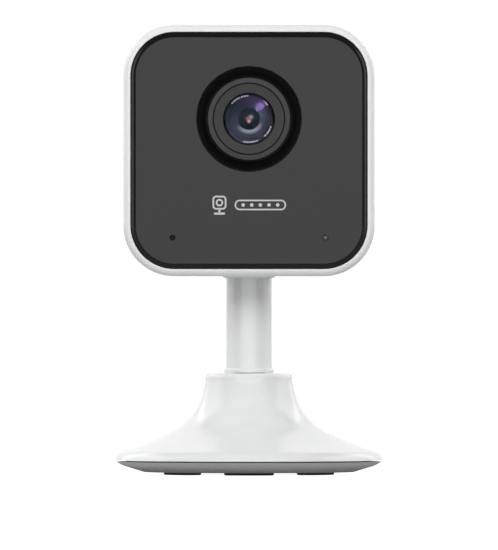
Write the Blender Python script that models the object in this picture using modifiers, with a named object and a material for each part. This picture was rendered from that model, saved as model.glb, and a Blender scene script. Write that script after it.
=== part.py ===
"""A small indoor security camera: a square head that tilts on a stem, over a round weighted base.

Units are metres. The origin is the centre of the base, where its feet meet the table. +Z is up,
the lens looks along -Y, and +X is on the right of someone who faces the lens.
"""

import math

import bmesh
import bpy
from mathutils import Matrix, Vector

# Clearances
GAP = 0.0003  # between two pieces that bear on each other
RUN = 0.00008  # radial, round a pin that turns
SIDE_GAP = 0.00015  # round a piece that drops into an opening

# Base: a trumpet-shaped shell over a dished plate, with a turret that carries the stem
BASE_RADIUS = 0.0320
BASE_WALL = 0.0017
BASE_EDGE_Z = 0.0034  # where the shell's rim ends, above the table
RIM_ROUND = 0.00286
RIM_TUCK = 0.00048  # the rim's arc is centred this far below the shell's edge
RIM_TANGENT = math.radians(17.6)  # slope of the flare where the rim's arc takes over
TURRET_RADIUS = 0.01035
TURRET_TOP = 0.02415
TURRET_EDGE = 0.0010
TURRET_ROOF = 0.0025
TURRET_STRAIGHT = 0.00185  # height of the turret's straight side
FLARE_UPPER = Vector((0.00130, -0.00827))  # curve handle where the flare leaves the turret
FLARE_LOWER = Vector((-0.01547, 0.00492))  # curve handle where it reaches the rim

PLATE_BOTTOM = 0.0006
PLATE_THICK = 0.0020
PLATE_FLAT_INSET = 0.0066  # from the base's edge in to the flat underside
PLATE_EDGE_INSET = 0.0003
LOCATING_LIP = 0.0012
LIP_RISE = 0.0005
LIP_CLEAR = 0.0011
DISH_UPPER = Vector((0.0021, 0.0009))  # steps of the dish's side: in from the edge, down from the top
DISH_LOWER = Vector((0.0058, 0.0021))

FOOT_COUNT = 6
FOOT_ANGLE = math.radians(34)
FOOT_WIDTH = 0.0049
FOOT_POCKET = 0.0009
FOOT_EDGE_MARGIN = 0.0044

BASE_SCREWS = 3
SCREW_HEAD_RADIUS = 0.0019
SCREW_HEAD_THICK = 0.0006
SCREW_RADIUS = 0.0010
SCREW_BITE = 0.0050
SCREW_FOOT_MARGIN = 0.0019
PILOT_SPARE = 0.0010  # a pilot hole runs past its screw by this much
BOSS_RADIUS = 0.0024
BOSS_CLEAR = 0.0030
RIB_THICK = 0.0014
BALLAST_THICK = 0.0019
BALLAST_MARGIN = 0.0020
BALLAST_CHAMFER = 0.0008

# Stem, and the swivel that holds it to the turret
STEM_RADIUS = 0.005435
COLLAR_LIP = 0.0005
COLLAR_HEIGHT = 0.00075
COLLAR_CHAMFER = 0.0001
SPIGOT_RADIUS = 0.0036
FRICTION_THICK = 0.0010
SWIVEL_WASHER_THICK = 0.0008
SWIVEL_WASHER_MARGIN = 0.0018
SWIVEL_SCREW_RADIUS = 0.00125
SWIVEL_SCREW_HEAD = 0.0028
SWIVEL_SCREW_LENGTH = 0.0085
SWIVEL_HEAD_THICK = 0.0016

# Tilt hinge
PIVOT_Z = 0.0535
PIN_RADIUS = 0.0010
PIN_PROUD = 0.0008
KNUCKLE_FLAT = 0.00095  # taken off each side of the stem's round top
TILT_WASHER_RADIUS = 0.0028
POCKET_CLEAR = 0.0005
POCKET_WALL = 0.0015
TILT_DOWN = math.radians(30)

# Head
HEAD_SIZE = 0.0596
HEAD_ROUND = 0.0121
HEAD_WALL = 0.0017
HEAD_DEPTH = 0.0287
HEAD_FRONT_Y = -0.0162
PIVOT_INSET = 0.0063  # the hinge's height above the head's underside
FRONT_EDGE = 0.0015
REAR_EDGE = 0.0050
LIP_DROP = 0.0004
LIP_WIDTH = 0.0005

PANEL_PROUD = 0.0003
PANEL_THICK = 0.0022
PANEL_BEVEL = 0.0011
FRAME_THICK = 0.0012
FRONT_BOARD_THICK = 0.0010
MAIN_BOARD_THICK = 0.0012
STANDOFF = 0.0073  # from the rear wall to the main board
BOARD_MARGIN = 0.0041
POST_INSET = 0.0026
POST_RADIUS = 0.0022
PANEL_FRAME_INSET = 0.0003

# Lens
LENS_RISE = 0.0075  # above the middle of the head
BEZEL_RADIUS = 0.0123
BEZEL_DEPTH = 0.0018
BARREL_RADIUS = 0.0098
BARREL_INSET = 0.0006  # behind the panel's face
TURNED_EDGE = 0.0002  # broken edges on the turned lens parts
RING_RADIUS = 0.0084
RING_THICK = 0.0017
GLASS_RADIUS = 0.00585
GLASS_INSET = 0.0006  # behind the barrel's lip
GLASS_RISE = 0.0007
IRIS_RADIUS = 0.00245
IRIS_THICK = 0.0003
GLASS_THICK = 0.0023
INNER_GLASS_RADIUS = 0.0050
INNER_GLASS_RISE = 0.0005
INNER_GLASS_MIDDLE = 0.0008
HOLDER_SIDE = 0.0180
HOLDER_DEPTH = 0.0075
HOLDER_WINDOW = 0.0032
FILTER_LEDGE = 0.0034  # in front of the holder's back
FILTER_SIDE = 0.0078
FILTER_THICK = 0.0003
SENSOR_SIZE = Vector((0.0074, 0.0010, 0.0064))
SENSOR_ROOM = Vector((0.0016, 0.0010, 0.0016))  # space round the sensor, both sides together

# Small things on the front
CORNER_PORT_X = 0.00985  # microphone and light, in from the panel's side edge
CORNER_PORT_Z = 0.0073  # and up from its lower edge
MIC_RADIUS = 0.00068
LIGHT_RADIUS = 0.00057
LIGHT_HOLE = 0.0008
LIGHT_FLANGE = 0.0011
BOOT_RADIUS = 0.0020
PORT_CLEAR = 0.0004  # round each of them, in the frame
IR_INSET = 0.0100
IR_RADIUS = 0.0015

# Connectors and controls
USB_WIDTH = 0.0029
USB_HEIGHT = 0.0078
USB_EDGE_MARGIN = 0.0080
USB_SHELL = 0.0003
USB_RISE = 0.0008  # above the main board's lower edge
USB_TONGUE = Vector((0.0007, 0.0060, 0.0048))
USB_MOUTH_DEPTH = 0.0050
CARD_SLOT_HEIGHT = 0.0120
CARD_SLOT_WIDTH = 0.0014
CARD_RISE = 0.0033  # above the middle of the head
CARD_SOCKET_LENGTH = 0.0125
CARD_SOCKET_THICK = 0.0017
CARD_SOCKET_SIDES = 0.0008
CARD_MOUTH_DEPTH = 0.0107
RESET_DROP = 0.0070  # below the middle of the head
BUTTON_RADIUS = 0.0012
BUTTON_FLANGE = 0.0006
BUTTON_NOSE = 0.0008
BUTTON_REACH = 0.0017  # from the wall's inner face to the button's inner end
BUTTON_Y_STEP = 0.0011  # from the main board's rear face to the button's centre
SWITCH_SIZE = Vector((0.0037, 0.0020, 0.0030))
SWITCH_SPARE = 0.0001
BUTTON_TRAVEL = 0.0004
SPEAKER_RADIUS = 0.0100
SPEAKER_DEPTH = 0.0045
GRILLE_HOLE = 0.0006
GRILLE_PITCH = 0.0026
GRILLE_RINGS = 2
SHIELD_SIDE = 0.0150
SHIELD_THICK = 0.0019
SHIELD_MARGIN = 0.0010
SHIELD_RISE = 0.0020  # above the stem pocket's roof
AERIAL_SIZE = Vector((0.0260, 0.0060, 0.0004))
AERIAL_Y = 0.0010
RIBBON_WIDTH = 0.0080
RIBBON_THICK = 0.0003
RIBBON_WAVE = 0.0012
RIBBON_RISE = 0.0045  # above the stem pocket's roof
RIBBON_MARGIN = 0.0040

SMOOTH = 36  # sides on the large round pieces
FINE = 24
SMALL = 12
WELD = 0.000001  # points closer than this are one point

# Worked out from the sizes above
HEAD_BOTTOM = PIVOT_Z - PIVOT_INSET
HEAD_HALF = HEAD_SIZE / 2
HEAD_MID_Z = HEAD_BOTTOM + HEAD_HALF
HEAD_REAR_Y = HEAD_FRONT_Y + HEAD_DEPTH
MOUTH_HALF = HEAD_HALF - HEAD_WALL
MOUTH_ROUND = HEAD_ROUND - HEAD_WALL
REAR_WALL_Y = HEAD_REAR_Y - HEAD_WALL
PANEL_HALF = MOUTH_HALF - SIDE_GAP
PANEL_Y = HEAD_FRONT_Y - PANEL_PROUD
PANEL_BACK = PANEL_Y + PANEL_THICK
FRAME_Y = PANEL_BACK + GAP
FRONT_BOARD_Y = FRAME_Y + FRAME_THICK + GAP
BOARD_BACK = REAR_WALL_Y - STANDOFF - GAP
BOARD_Y = BOARD_BACK - MAIN_BOARD_THICK
BOARD_HALF = MOUTH_HALF - BOARD_MARGIN
LENS_Z = HEAD_MID_Z + LENS_RISE
PORT_X = PANEL_HALF - CORNER_PORT_X
PORT_Z = HEAD_MID_Z - PANEL_HALF + CORNER_PORT_Z
IR_X = PANEL_HALF - IR_INSET
IR_Z = HEAD_MID_Z + PANEL_HALF - IR_INSET
POST_X = BOARD_HALF - POST_INSET
POSTS = [(x, HEAD_MID_Z + z) for x in (-POST_X, POST_X) for z in (-POST_X, POST_X)]
BORE_RADIUS = GLASS_RADIUS + GAP
BARREL_Y = PANEL_Y + BARREL_INSET
GLASS_Y = BARREL_Y + GLASS_INSET
IRIS_Y = GLASS_Y + GLASS_RISE + GLASS_THICK + GAP
HOLDER_BACK = BOARD_Y - GAP
HOLDER_Y = HOLDER_BACK - HOLDER_DEPTH
BARREL_LENGTH = HOLDER_Y - GAP - BARREL_Y
USB_X = BOARD_HALF - USB_EDGE_MARGIN
POCKET_HALF = STEM_RADIUS + POCKET_CLEAR
EAR_X = POCKET_HALF + POCKET_WALL
POCKET_ROOF = PIVOT_Z + POCKET_HALF + POCKET_WALL
KNUCKLE_HALF = STEM_RADIUS - KNUCKLE_FLAT
PLATE_TOP = PLATE_BOTTOM + PLATE_THICK
PLATE_FLAT = BASE_RADIUS - PLATE_FLAT_INSET
FOOT_OUTER = PLATE_FLAT - FOOT_EDGE_MARGIN
FOOT_INNER = FOOT_OUTER - FOOT_WIDTH
COUNTERBORE = SCREW_HEAD_RADIUS + GAP
SCREW_CIRCLE = FOOT_INNER - COUNTERBORE - SCREW_FOOT_MARGIN
TURRET_INNER = TURRET_RADIUS - BASE_WALL
CEILING_Z = TURRET_TOP - TURRET_ROOF
SPIGOT_END = CEILING_Z - FRICTION_THICK - 2 * GAP
SWIVEL_WASHER_Z = SPIGOT_END - GAP - SWIVEL_WASHER_THICK
BOSS_TOP = SWIVEL_WASHER_Z - BOSS_CLEAR
BUTTON_Y = BOARD_BACK + GAP + BUTTON_Y_STEP
BUTTON_Z = HEAD_MID_Z - RESET_DROP
BUTTON_TIP = -MOUTH_HALF + BUTTON_REACH
SOCKET_Z = HEAD_MID_Z - BOARD_HALF + USB_HEIGHT / 2 + USB_RISE

WHITE = (0.86, 0.87, 0.88, 1)
OFF_WHITE = (0.80, 0.81, 0.82, 1)
GLOSS_BLACK = (0.020, 0.021, 0.023, 1)
BLACK = (0.012, 0.012, 0.013, 1)
BARREL_GREY = (0.12, 0.12, 0.125, 1)
PLATE_GREY = (0.24, 0.24, 0.25, 1)
RUBBER = (0.035, 0.035, 0.037, 1)
STEEL = (0.62, 0.63, 0.65, 1)
BOARD_GREEN = (0.02, 0.13, 0.06, 1)
GLASS = (0.25, 0.22, 0.38, 1)

cutters = bpy.data.collections.new("cutters")
model = bpy.data.collections.new("security_camera")


def clear_scene():
    for obj in list(bpy.data.objects):
        bpy.data.objects.remove(obj, do_unlink=True)
    bpy.context.scene.collection.children.link(model)
    bpy.context.scene.collection.children.link(cutters)
    cutters.hide_render = True


def joint_axis(name, location, parent=None):
    """An empty on a joint's axis. What it carries is parented to it."""
    empty = bpy.data.objects.new(name, None)
    empty.location = location
    empty.empty_display_size = 0.01
    model.objects.link(empty)
    if parent is not None:
        empty.parent = parent
        empty.location = Vector(location) - parent.matrix_world.translation
    bpy.context.view_layer.update()
    return empty


def finish(obj, color, roughness=0.4, metallic=0.0, axis=None):
    """Give a piece its own material, put it in the model and hang it on its joint's empty."""
    material = bpy.data.materials.new(obj.name)
    material.use_nodes = True
    shader = material.node_tree.nodes["Principled BSDF"]
    shader.inputs["Base Color"].default_value = color
    shader.inputs["Roughness"].default_value = roughness
    shader.inputs["Metallic"].default_value = metallic
    obj.data.materials.clear()
    obj.data.materials.append(material)
    model.objects.link(obj)
    if axis is not None:
        obj.parent = axis
        obj.matrix_parent_inverse = axis.matrix_world.inverted()
    return obj


def as_cutter(obj):
    obj.hide_render = True
    obj.display_type = "WIRE"
    cutters.objects.link(obj)
    return obj


def boolean(obj, other, operation="DIFFERENCE"):
    modifier = obj.modifiers.new(f"{operation.lower()}_{other.name}", "BOOLEAN")
    modifier.operation = operation
    modifier.solver = "EXACT"
    modifier.object = other


def drill(obj, holes):
    """Cut several shapes that stay clear of each other, as one collection."""
    group = bpy.data.collections.new(f"{obj.name}_cuts")
    cutters.children.link(group)
    for hole in holes:
        hole.hide_render = True
        hole.display_type = "WIRE"
        group.objects.link(hole)
    modifier = obj.modifiers.new("openings", "BOOLEAN")
    modifier.operation = "DIFFERENCE"
    modifier.solver = "EXACT"
    modifier.operand_type = "COLLECTION"
    modifier.collection = group


def mesh_object(name, shape, location=(0, 0, 0), smooth=False):
    mesh = bpy.data.meshes.new(name)
    bmesh.ops.recalc_face_normals(shape, faces=shape.faces)
    shape.to_mesh(mesh)
    shape.free()
    if smooth:
        mesh.shade_smooth()
        mesh.set_sharp_from_angle(angle=math.radians(35))
    obj = bpy.data.objects.new(name, mesh)
    obj.location = location
    return obj


def box(name, size, centre):
    shape = bmesh.new()
    bmesh.ops.create_cube(shape, size=1, matrix=Matrix.Diagonal((*size, 1)))
    return mesh_object(name, shape, centre)


def rod(name, radius, length, centre, along, segments=SMALL):
    """A cylinder about one of the frame's axes, "X", "Y" or "Z"."""
    turn = {"X": Matrix.Rotation(math.pi / 2, 4, "Y"), "Y": Matrix.Rotation(math.pi / 2, 4, "X")}
    shape = bmesh.new()
    bmesh.ops.create_cone(shape, cap_ends=True, segments=segments, radius1=radius,
                          radius2=radius, depth=length, matrix=turn.get(along, Matrix()))
    return mesh_object(name, shape, centre, smooth=True)


def edges_at(shape, test):
    return [e for e in shape.edges if all(test(v.co) for v in e.verts)]


def bevel(shape, edges, width, segments):
    bmesh.ops.bevel(shape, geom=edges, offset=width, segments=segments, profile=0.5,
                    affect="EDGES", clamp_overlap=False)


def rounded_block(name, half, corner, front, back, front_edge=0.0, rear_edge=0.0, steps=6):
    """A square block about the head's middle: round corners along Y, and round front and rear edges."""
    shape = bmesh.new()
    size = Matrix.Diagonal((2 * half, back - front, 2 * half, 1))
    bmesh.ops.create_cube(shape, size=1, matrix=size)
    depth = (back - front) / 2
    along = [e for e in shape.edges if abs(e.verts[0].co.y - e.verts[1].co.y) > depth]
    bevel(shape, along, corner, steps)
    if front_edge:
        bevel(shape, edges_at(shape, lambda p: p.y < -depth * 0.999), front_edge, 3)
    if rear_edge:
        bevel(shape, edges_at(shape, lambda p: p.y > depth * 0.999), rear_edge, 4)
    return mesh_object(name, shape, (0, (front + back) / 2, HEAD_MID_Z), smooth=True)


def turned(name, profile, location=(0, 0, 0), facing="Z", steps=FINE):
    """A shape of revolution. The profile's (radius, height) points run down its outer side.

    A profile that starts and ends on the axis is solid there; any other is closed into a ring. With
    facing "Y" the heights count towards -Y, so that a profile still starts at the front.
    """
    solid = profile[0][0] == 0 and profile[-1][0] == 0
    mesh = bpy.data.meshes.new(name)
    count = len(profile)
    edges = [(i, i + 1) for i in range(count - 1)]
    if not solid:
        edges.append((count - 1, 0))
    mesh.from_pydata([(r, 0, z) for r, z in profile], edges, [])
    obj = bpy.data.objects.new(name, mesh)
    screw = obj.modifiers.new("turn", "SCREW")
    screw.steps = steps
    screw.render_steps = steps
    screw.use_merge_vertices = True
    screw.merge_threshold = WELD
    screw.use_smooth_shade = True
    if facing == "Y":
        obj.rotation_euler = (math.pi / 2, 0, 0)
    obj.location = location
    return obj


def flat_piece(name, outline, thickness, location, along):
    """A closed outline made into a flat piece, centred on its own thickness.

    Along "Z" the outline is (x, y). Along "Y" it is (x, z), and along "X" it is (y, z).
    """
    curve = bpy.data.curves.new(name, "CURVE")
    curve.dimensions = "2D"
    curve.fill_mode = "BOTH"
    curve.extrude = thickness / 2
    spline = curve.splines.new("POLY")
    spline.points.add(len(outline) - 1)
    for point, (u, v) in zip(spline.points, outline):
        point.co = (u, v, 0, 1)
    spline.use_cyclic_u = True
    source = bpy.data.objects.new(name, curve)
    model.objects.link(source)
    graph = bpy.context.evaluated_depsgraph_get()
    mesh = bpy.data.meshes.new_from_object(source.evaluated_get(graph))
    bpy.data.objects.remove(source, do_unlink=True)
    bpy.data.curves.remove(curve)
    turn = {"Z": Matrix(), "Y": Matrix.Rotation(math.pi / 2, 4, "X"),
            "X": Matrix(((0, 0, 1, 0), (1, 0, 0, 0), (0, 1, 0, 0), (0, 0, 0, 1)))}
    mesh.transform(turn[along])
    shape = bmesh.new()
    shape.from_mesh(mesh)
    bpy.data.meshes.remove(mesh)
    bmesh.ops.remove_doubles(shape, verts=shape.verts, dist=WELD)
    return mesh_object(name, shape, location)


def arc(centre, radius, start, stop, steps):
    """Points on an arc, from one angle to another."""
    angles = [start + (stop - start) * i / steps for i in range(steps + 1)]
    return [(centre[0] + radius * math.cos(a), centre[1] + radius * math.sin(a)) for a in angles]


# ---------------------------------------------------------------- base


def flare(steps=10):
    """The trumpet curve between turret and rim, with the outward normal at each point."""
    rim = Vector((BASE_RADIUS - RIM_ROUND, BASE_EDGE_Z - RIM_TUCK))
    slope = Vector((math.sin(RIM_TANGENT), math.cos(RIM_TANGENT)))
    start = Vector((TURRET_RADIUS, TURRET_TOP - TURRET_STRAIGHT))
    end = rim + RIM_ROUND * slope
    first = start + FLARE_UPPER
    last = end + FLARE_LOWER
    points = []
    for i in range(steps + 1):
        t = i / steps
        u = 1 - t
        place = u**3 * start + 3 * u * u * t * first + 3 * u * t * t * last + t**3 * end
        pull = u * u * (first - start) + 2 * u * t * (last - first) + t * t * (end - last)
        points.append((place, Vector((-pull.y, pull.x)).normalized()))
    return points, rim


def base_shell():
    curve, rim = flare()
    edge = arc((TURRET_RADIUS - TURRET_EDGE, TURRET_TOP - TURRET_EDGE), TURRET_EDGE,
               math.pi / 2, 0, 3)
    round_end = math.asin((BASE_EDGE_Z - rim.y) / RIM_ROUND)
    rim_arc = arc(rim, RIM_ROUND, math.pi / 2 - RIM_TANGENT, round_end, 4)[1:]
    outer = [(0, TURRET_TOP), *edge, *[tuple(p) for p, _ in curve], *rim_arc, (0, BASE_EDGE_Z)]
    shell = turned("base_shell", outer, steps=SMOOTH)
    inner = [tuple(p - BASE_WALL * n) for p, n in curve]
    mouth = BASE_RADIUS - BASE_WALL - GAP
    inner = [(r, z) for r, z in inner if r < mouth and z < CEILING_Z - GAP]
    hollow = [(0, CEILING_Z), (TURRET_INNER, CEILING_Z), *inner,
              (mouth, inner[-1][1] - GAP), (mouth, 0), (0, 0)]
    cavity = as_cutter(turned("base_cavity", hollow, steps=SMOOTH))
    for index in range(BASE_SCREWS):
        cut_boss(cavity, index)
    boolean(shell, cavity)
    holes = [rod("turret_bore", SPIGOT_RADIUS + RUN, 3 * TURRET_ROOF, (0, 0, TURRET_TOP), "Z", FINE)]
    for index in range(BASE_SCREWS):
        x, y, _ = screw_place(index)
        middle = PLATE_TOP + GAP + SCREW_BITE / 2
        holes.append(rod(f"pilot_{index + 1}", SCREW_RADIUS + RUN, SCREW_BITE + PILOT_SPARE, (x, y, middle),
                         "Z"))
    drill(shell, holes)
    return finish(shell, WHITE, 0.35)


def screw_place(index):
    """Position and direction of one base screw."""
    angle = math.pi / 2 + index * math.tau / BASE_SCREWS
    return SCREW_CIRCLE * math.cos(angle), SCREW_CIRCLE * math.sin(angle), angle


def cut_boss(cavity, index):
    """Leave a screw boss standing in the shell, with a rib out to the wall."""
    x, y, angle = screw_place(index)
    low = PLATE_TOP + GAP
    boss = as_cutter(rod(f"boss_{index + 1}", BOSS_RADIUS, BOSS_TOP - low, (x, y, (BOSS_TOP + low) / 2), "Z"))
    boolean(cavity, boss)
    rib_low = low + BALLAST_THICK + 2 * GAP
    length = BASE_RADIUS - SCREW_CIRCLE
    reach = SCREW_CIRCLE + length / 2
    rib = as_cutter(box(f"rib_{index + 1}", (length, RIB_THICK, BOSS_TOP - rib_low),
                        (reach * math.cos(angle), reach * math.sin(angle), (BOSS_TOP + rib_low) / 2)))
    rib.rotation_euler = (0, 0, angle)
    boolean(cavity, rib)


def base_plate():
    """The dished underside, with a lip that locates it in the shell and pockets for the feet."""
    lip = BASE_RADIUS - BASE_WALL - LIP_CLEAR
    top = BASE_EDGE_Z - GAP
    profile = [
        (0, PLATE_TOP), (lip - LOCATING_LIP, PLATE_TOP), (lip - LOCATING_LIP, top + LIP_RISE),
        (lip, top + LIP_RISE), (lip, top), (BASE_RADIUS - PLATE_EDGE_INSET, top),
        (BASE_RADIUS - DISH_UPPER.x, top - DISH_UPPER.y), (BASE_RADIUS - DISH_LOWER.x, top - DISH_LOWER.y),
        (PLATE_FLAT, PLATE_BOTTOM), (0, PLATE_BOTTOM),
    ]
    plate = turned("base_plate", profile, steps=SMOOTH)
    cuts = []
    for index in range(FOOT_COUNT):
        cuts.append(foot_block(f"foot_pocket_{index + 1}", index, SIDE_GAP, 0, FOOT_POCKET + PLATE_BOTTOM))
    for index in range(BASE_SCREWS):
        x, y, _ = screw_place(index)
        cuts.append(rod(f"screw_way_{index + 1}", SCREW_RADIUS + GAP, 4 * PLATE_THICK, (x, y, 0), "Z"))
    drill(plate, cuts)
    for index in range(BASE_SCREWS):
        x, y, _ = screw_place(index)
        deep = SCREW_HEAD_THICK + 2 * GAP
        seat = rod(f"counterbore_{index + 1}", COUNTERBORE, 2 * deep, (x, y, PLATE_BOTTOM), "Z", FINE)
        boolean(plate, as_cutter(seat))
    return finish(plate, PLATE_GREY, 0.5)


def foot_block(name, index, grow, low, high):
    """A block along an arc of the foot circle. The first one faces the front."""
    middle = -math.pi / 2 + index * math.tau / FOOT_COUNT
    half = FOOT_ANGLE / 2 + grow / FOOT_OUTER
    outer = arc((0, 0), FOOT_OUTER + grow, middle - half, middle + half, 7)
    inner = arc((0, 0), FOOT_INNER - grow, middle + half, middle - half, 7)
    return flat_piece(name, outer + inner, high - low, (0, 0, (low + high) / 2), "Z")


def rubber_foot(index):
    high = PLATE_BOTTOM + FOOT_POCKET - GAP
    return finish(foot_block(f"rubber_foot_{index + 1}", index, 0, 0, high), RUBBER, 0.8)


def screw(name, location, facing, head_radius=SCREW_HEAD_RADIUS, radius=SCREW_RADIUS,
          head=SCREW_HEAD_THICK, length=SCREW_BITE):
    """A pan-head screw with a dimpled recess. Its head's outer face is at the location."""
    profile = [(0, -0.4 * head), (0.45 * head_radius, -0.4 * head), (0.55 * head_radius, 0),
               (0.85 * head_radius, 0), (head_radius, -0.3 * head), (head_radius, -head),
               (radius, -head), (radius, -head - length + radius / 2), (radius / 2, -head - length),
               (0, -head - length)]
    obj = turned(name, profile, location, facing, SMALL)
    if facing == "UP":
        obj.rotation_euler = (math.pi, 0, 0)
    return obj


def base_screw(index):
    x, y, _ = screw_place(index)
    seat = PLATE_BOTTOM + GAP
    reach = PLATE_TOP - seat - SCREW_HEAD_THICK + SCREW_BITE - PILOT_SPARE
    return finish(screw(f"base_screw_{index + 1}", (x, y, seat), "UP", length=reach), STEEL, 0.35, 1.0)


def ballast_ring():
    """A steel ring that keeps the base down. The screw bosses pass through its middle."""
    inner = SCREW_CIRCLE + BOSS_RADIUS + 2 * GAP
    outer = BASE_RADIUS - BASE_WALL - LIP_CLEAR - LOCATING_LIP - BALLAST_MARGIN
    low = PLATE_TOP + GAP
    high = low + BALLAST_THICK
    profile = [(inner, high), (outer - BALLAST_CHAMFER, high), (outer, high - BALLAST_CHAMFER),
               (outer, low), (inner, low)]
    return finish(turned("ballast_ring", profile, steps=SMOOTH), STEEL, 0.45, 1.0)


def friction_ring():
    """A rubber ring between the turret's roof and the swivel washer: it makes the stem stay put."""
    inner = SPIGOT_RADIUS + GAP
    outer = TURRET_INNER - SWIVEL_WASHER_MARGIN
    high = CEILING_Z - GAP
    low = high - FRICTION_THICK
    profile = [(inner, high), (outer, high), (outer, low), (inner, low)]
    return finish(turned("friction_ring", profile, steps=FINE), RUBBER, 0.8)


# ---------------------------------------------------------------- stem


def stem(axis):
    """A plain post with a collar over the turret, a spigot through it and a round hinge knuckle."""
    knuckle = arc((0, PIVOT_Z), STEM_RADIUS, math.pi / 2, 0, 6)
    bottom = TURRET_TOP + GAP
    collar = STEM_RADIUS + COLLAR_LIP
    screw_way = SWIVEL_SCREW_RADIUS + GAP
    way_top = SPIGOT_END + SWIVEL_SCREW_LENGTH
    profile = [(0, PIVOT_Z + STEM_RADIUS), *knuckle[1:], (STEM_RADIUS, bottom + COLLAR_HEIGHT),
               (collar - COLLAR_CHAMFER, bottom + COLLAR_HEIGHT - COLLAR_CHAMFER), (collar, bottom),
               (SPIGOT_RADIUS, bottom), (SPIGOT_RADIUS, SPIGOT_END), (screw_way, SPIGOT_END),
               (screw_way, way_top), (0, way_top)]
    post = turned("stem", profile, steps=FINE)
    for side in (-1, 1):
        thick = 2 * KNUCKLE_FLAT
        middle = side * (KNUCKLE_HALF + thick / 2)
        flat = box(f"knuckle_flat_{side}", (thick, 2.4 * STEM_RADIUS, 2 * STEM_RADIUS),
                   (middle, 0, PIVOT_Z + 0.4 * STEM_RADIUS))
        boolean(post, as_cutter(flat))
    hole = rod("knuckle_bore", PIN_RADIUS + RUN, 4 * STEM_RADIUS, (0, 0, PIVOT_Z), "X", FINE)
    boolean(post, as_cutter(hole))
    return finish(post, WHITE, 0.35, axis=axis)


def swivel_washer(axis):
    inner = SWIVEL_SCREW_RADIUS + GAP
    outer = TURRET_INNER - SWIVEL_WASHER_MARGIN
    high = SWIVEL_WASHER_Z + SWIVEL_WASHER_THICK
    profile = [(inner, high), (outer, high), (outer, SWIVEL_WASHER_Z), (inner, SWIVEL_WASHER_Z)]
    ring = turned("swivel_washer", profile, steps=FINE)
    return finish(ring, STEEL, 0.4, 1.0, axis)


def swivel_screw(axis):
    seat = SWIVEL_WASHER_Z - GAP - SWIVEL_HEAD_THICK
    bolt = screw("swivel_screw", (0, 0, seat), "UP", SWIVEL_SCREW_HEAD, SWIVEL_SCREW_RADIUS,
                 SWIVEL_HEAD_THICK, SWIVEL_SCREW_LENGTH)
    return finish(bolt, STEEL, 0.35, 1.0, axis)


def tilt_pin(axis):
    half = EAR_X + PIN_PROUD
    pin = rod("tilt_pin", PIN_RADIUS, 2 * half, (0, 0, PIVOT_Z), "X", FINE)
    return finish(pin, STEEL, 0.3, 1.0, axis)


def tilt_washer(axis, side, name):
    """A washer between the knuckle's flat and the pocket's wall."""
    thick = KNUCKLE_FLAT + POCKET_CLEAR - 2 * GAP
    inner = PIN_RADIUS + RUN
    profile = [(inner, thick / 2), (TILT_WASHER_RADIUS, thick / 2),
               (TILT_WASHER_RADIUS, -thick / 2), (inner, -thick / 2)]
    ring = turned(name, profile, (side * (KNUCKLE_HALF + GAP + thick / 2), 0, PIVOT_Z), steps=FINE)
    ring.rotation_euler = (0, math.pi / 2, 0)
    return finish(ring, RUBBER, 0.6, axis=axis)


# ---------------------------------------------------------------- head shell


def pocket_outline(grow, rear, low):
    """The stem's swept space, seen from the side: round at the hinge, open below and behind."""
    radius = POCKET_HALF + grow
    start = math.pi - TILT_DOWN
    points = arc((0, PIVOT_Z), radius, math.pi / 2, start, 6)
    run = (points[-1][1] - low) / math.cos(TILT_DOWN)
    foot = points[-1][0] - run * math.sin(TILT_DOWN)
    return [*points, (foot, low), (rear, low), (rear, PIVOT_Z + radius)]


def head_shell(axis):
    rear = HEAD_REAR_Y
    shell = rounded_block("head_shell", HEAD_HALF, HEAD_ROUND, HEAD_FRONT_Y, rear, FRONT_EDGE, REAR_EDGE)
    lip_front = pocket_outline(0, rear, HEAD_BOTTOM - LIP_DROP)[7][0] - LIP_WIDTH
    lip_back = rear - REAR_EDGE
    sunk = HEAD_WALL / 2
    lip = box("pocket_lip", (2 * (POCKET_HALF + LIP_WIDTH), lip_back - lip_front, LIP_DROP + sunk),
              (0, (lip_back + lip_front) / 2, HEAD_BOTTOM + (sunk - LIP_DROP) / 2))
    boolean(shell, as_cutter(lip), "UNION")
    hollow = rounded_block("head_hollow", MOUTH_HALF, MOUTH_ROUND, HEAD_FRONT_Y - HEAD_WALL, REAR_WALL_Y,
                           rear_edge=REAR_EDGE - HEAD_WALL)
    as_cutter(hollow)
    outline = pocket_outline(POCKET_WALL, rear + HEAD_WALL, HEAD_BOTTOM - HEAD_WALL)
    block = flat_piece("pocket_walls", outline, 2 * EAR_X, (0, 0, 0), "X")
    boolean(hollow, as_cutter(block))
    for index, (x, z) in enumerate(POSTS):
        length = STANDOFF + 2 * HEAD_WALL
        post = rod(f"post_{index + 1}", POST_RADIUS, length, (x, REAR_WALL_Y - STANDOFF + length / 2, z), "Y")
        boolean(hollow, as_cutter(post))
    boolean(shell, hollow)
    sweep = pocket_outline(0, rear + HEAD_WALL, HEAD_BOTTOM - 2 * HEAD_WALL)
    boolean(shell, as_cutter(flat_piece("pocket_sweep", sweep, 2 * POCKET_HALF, (0, 0, 0), "X")))
    drill(shell, shell_openings())
    return finish(shell, WHITE, 0.35, axis=axis)


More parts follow.
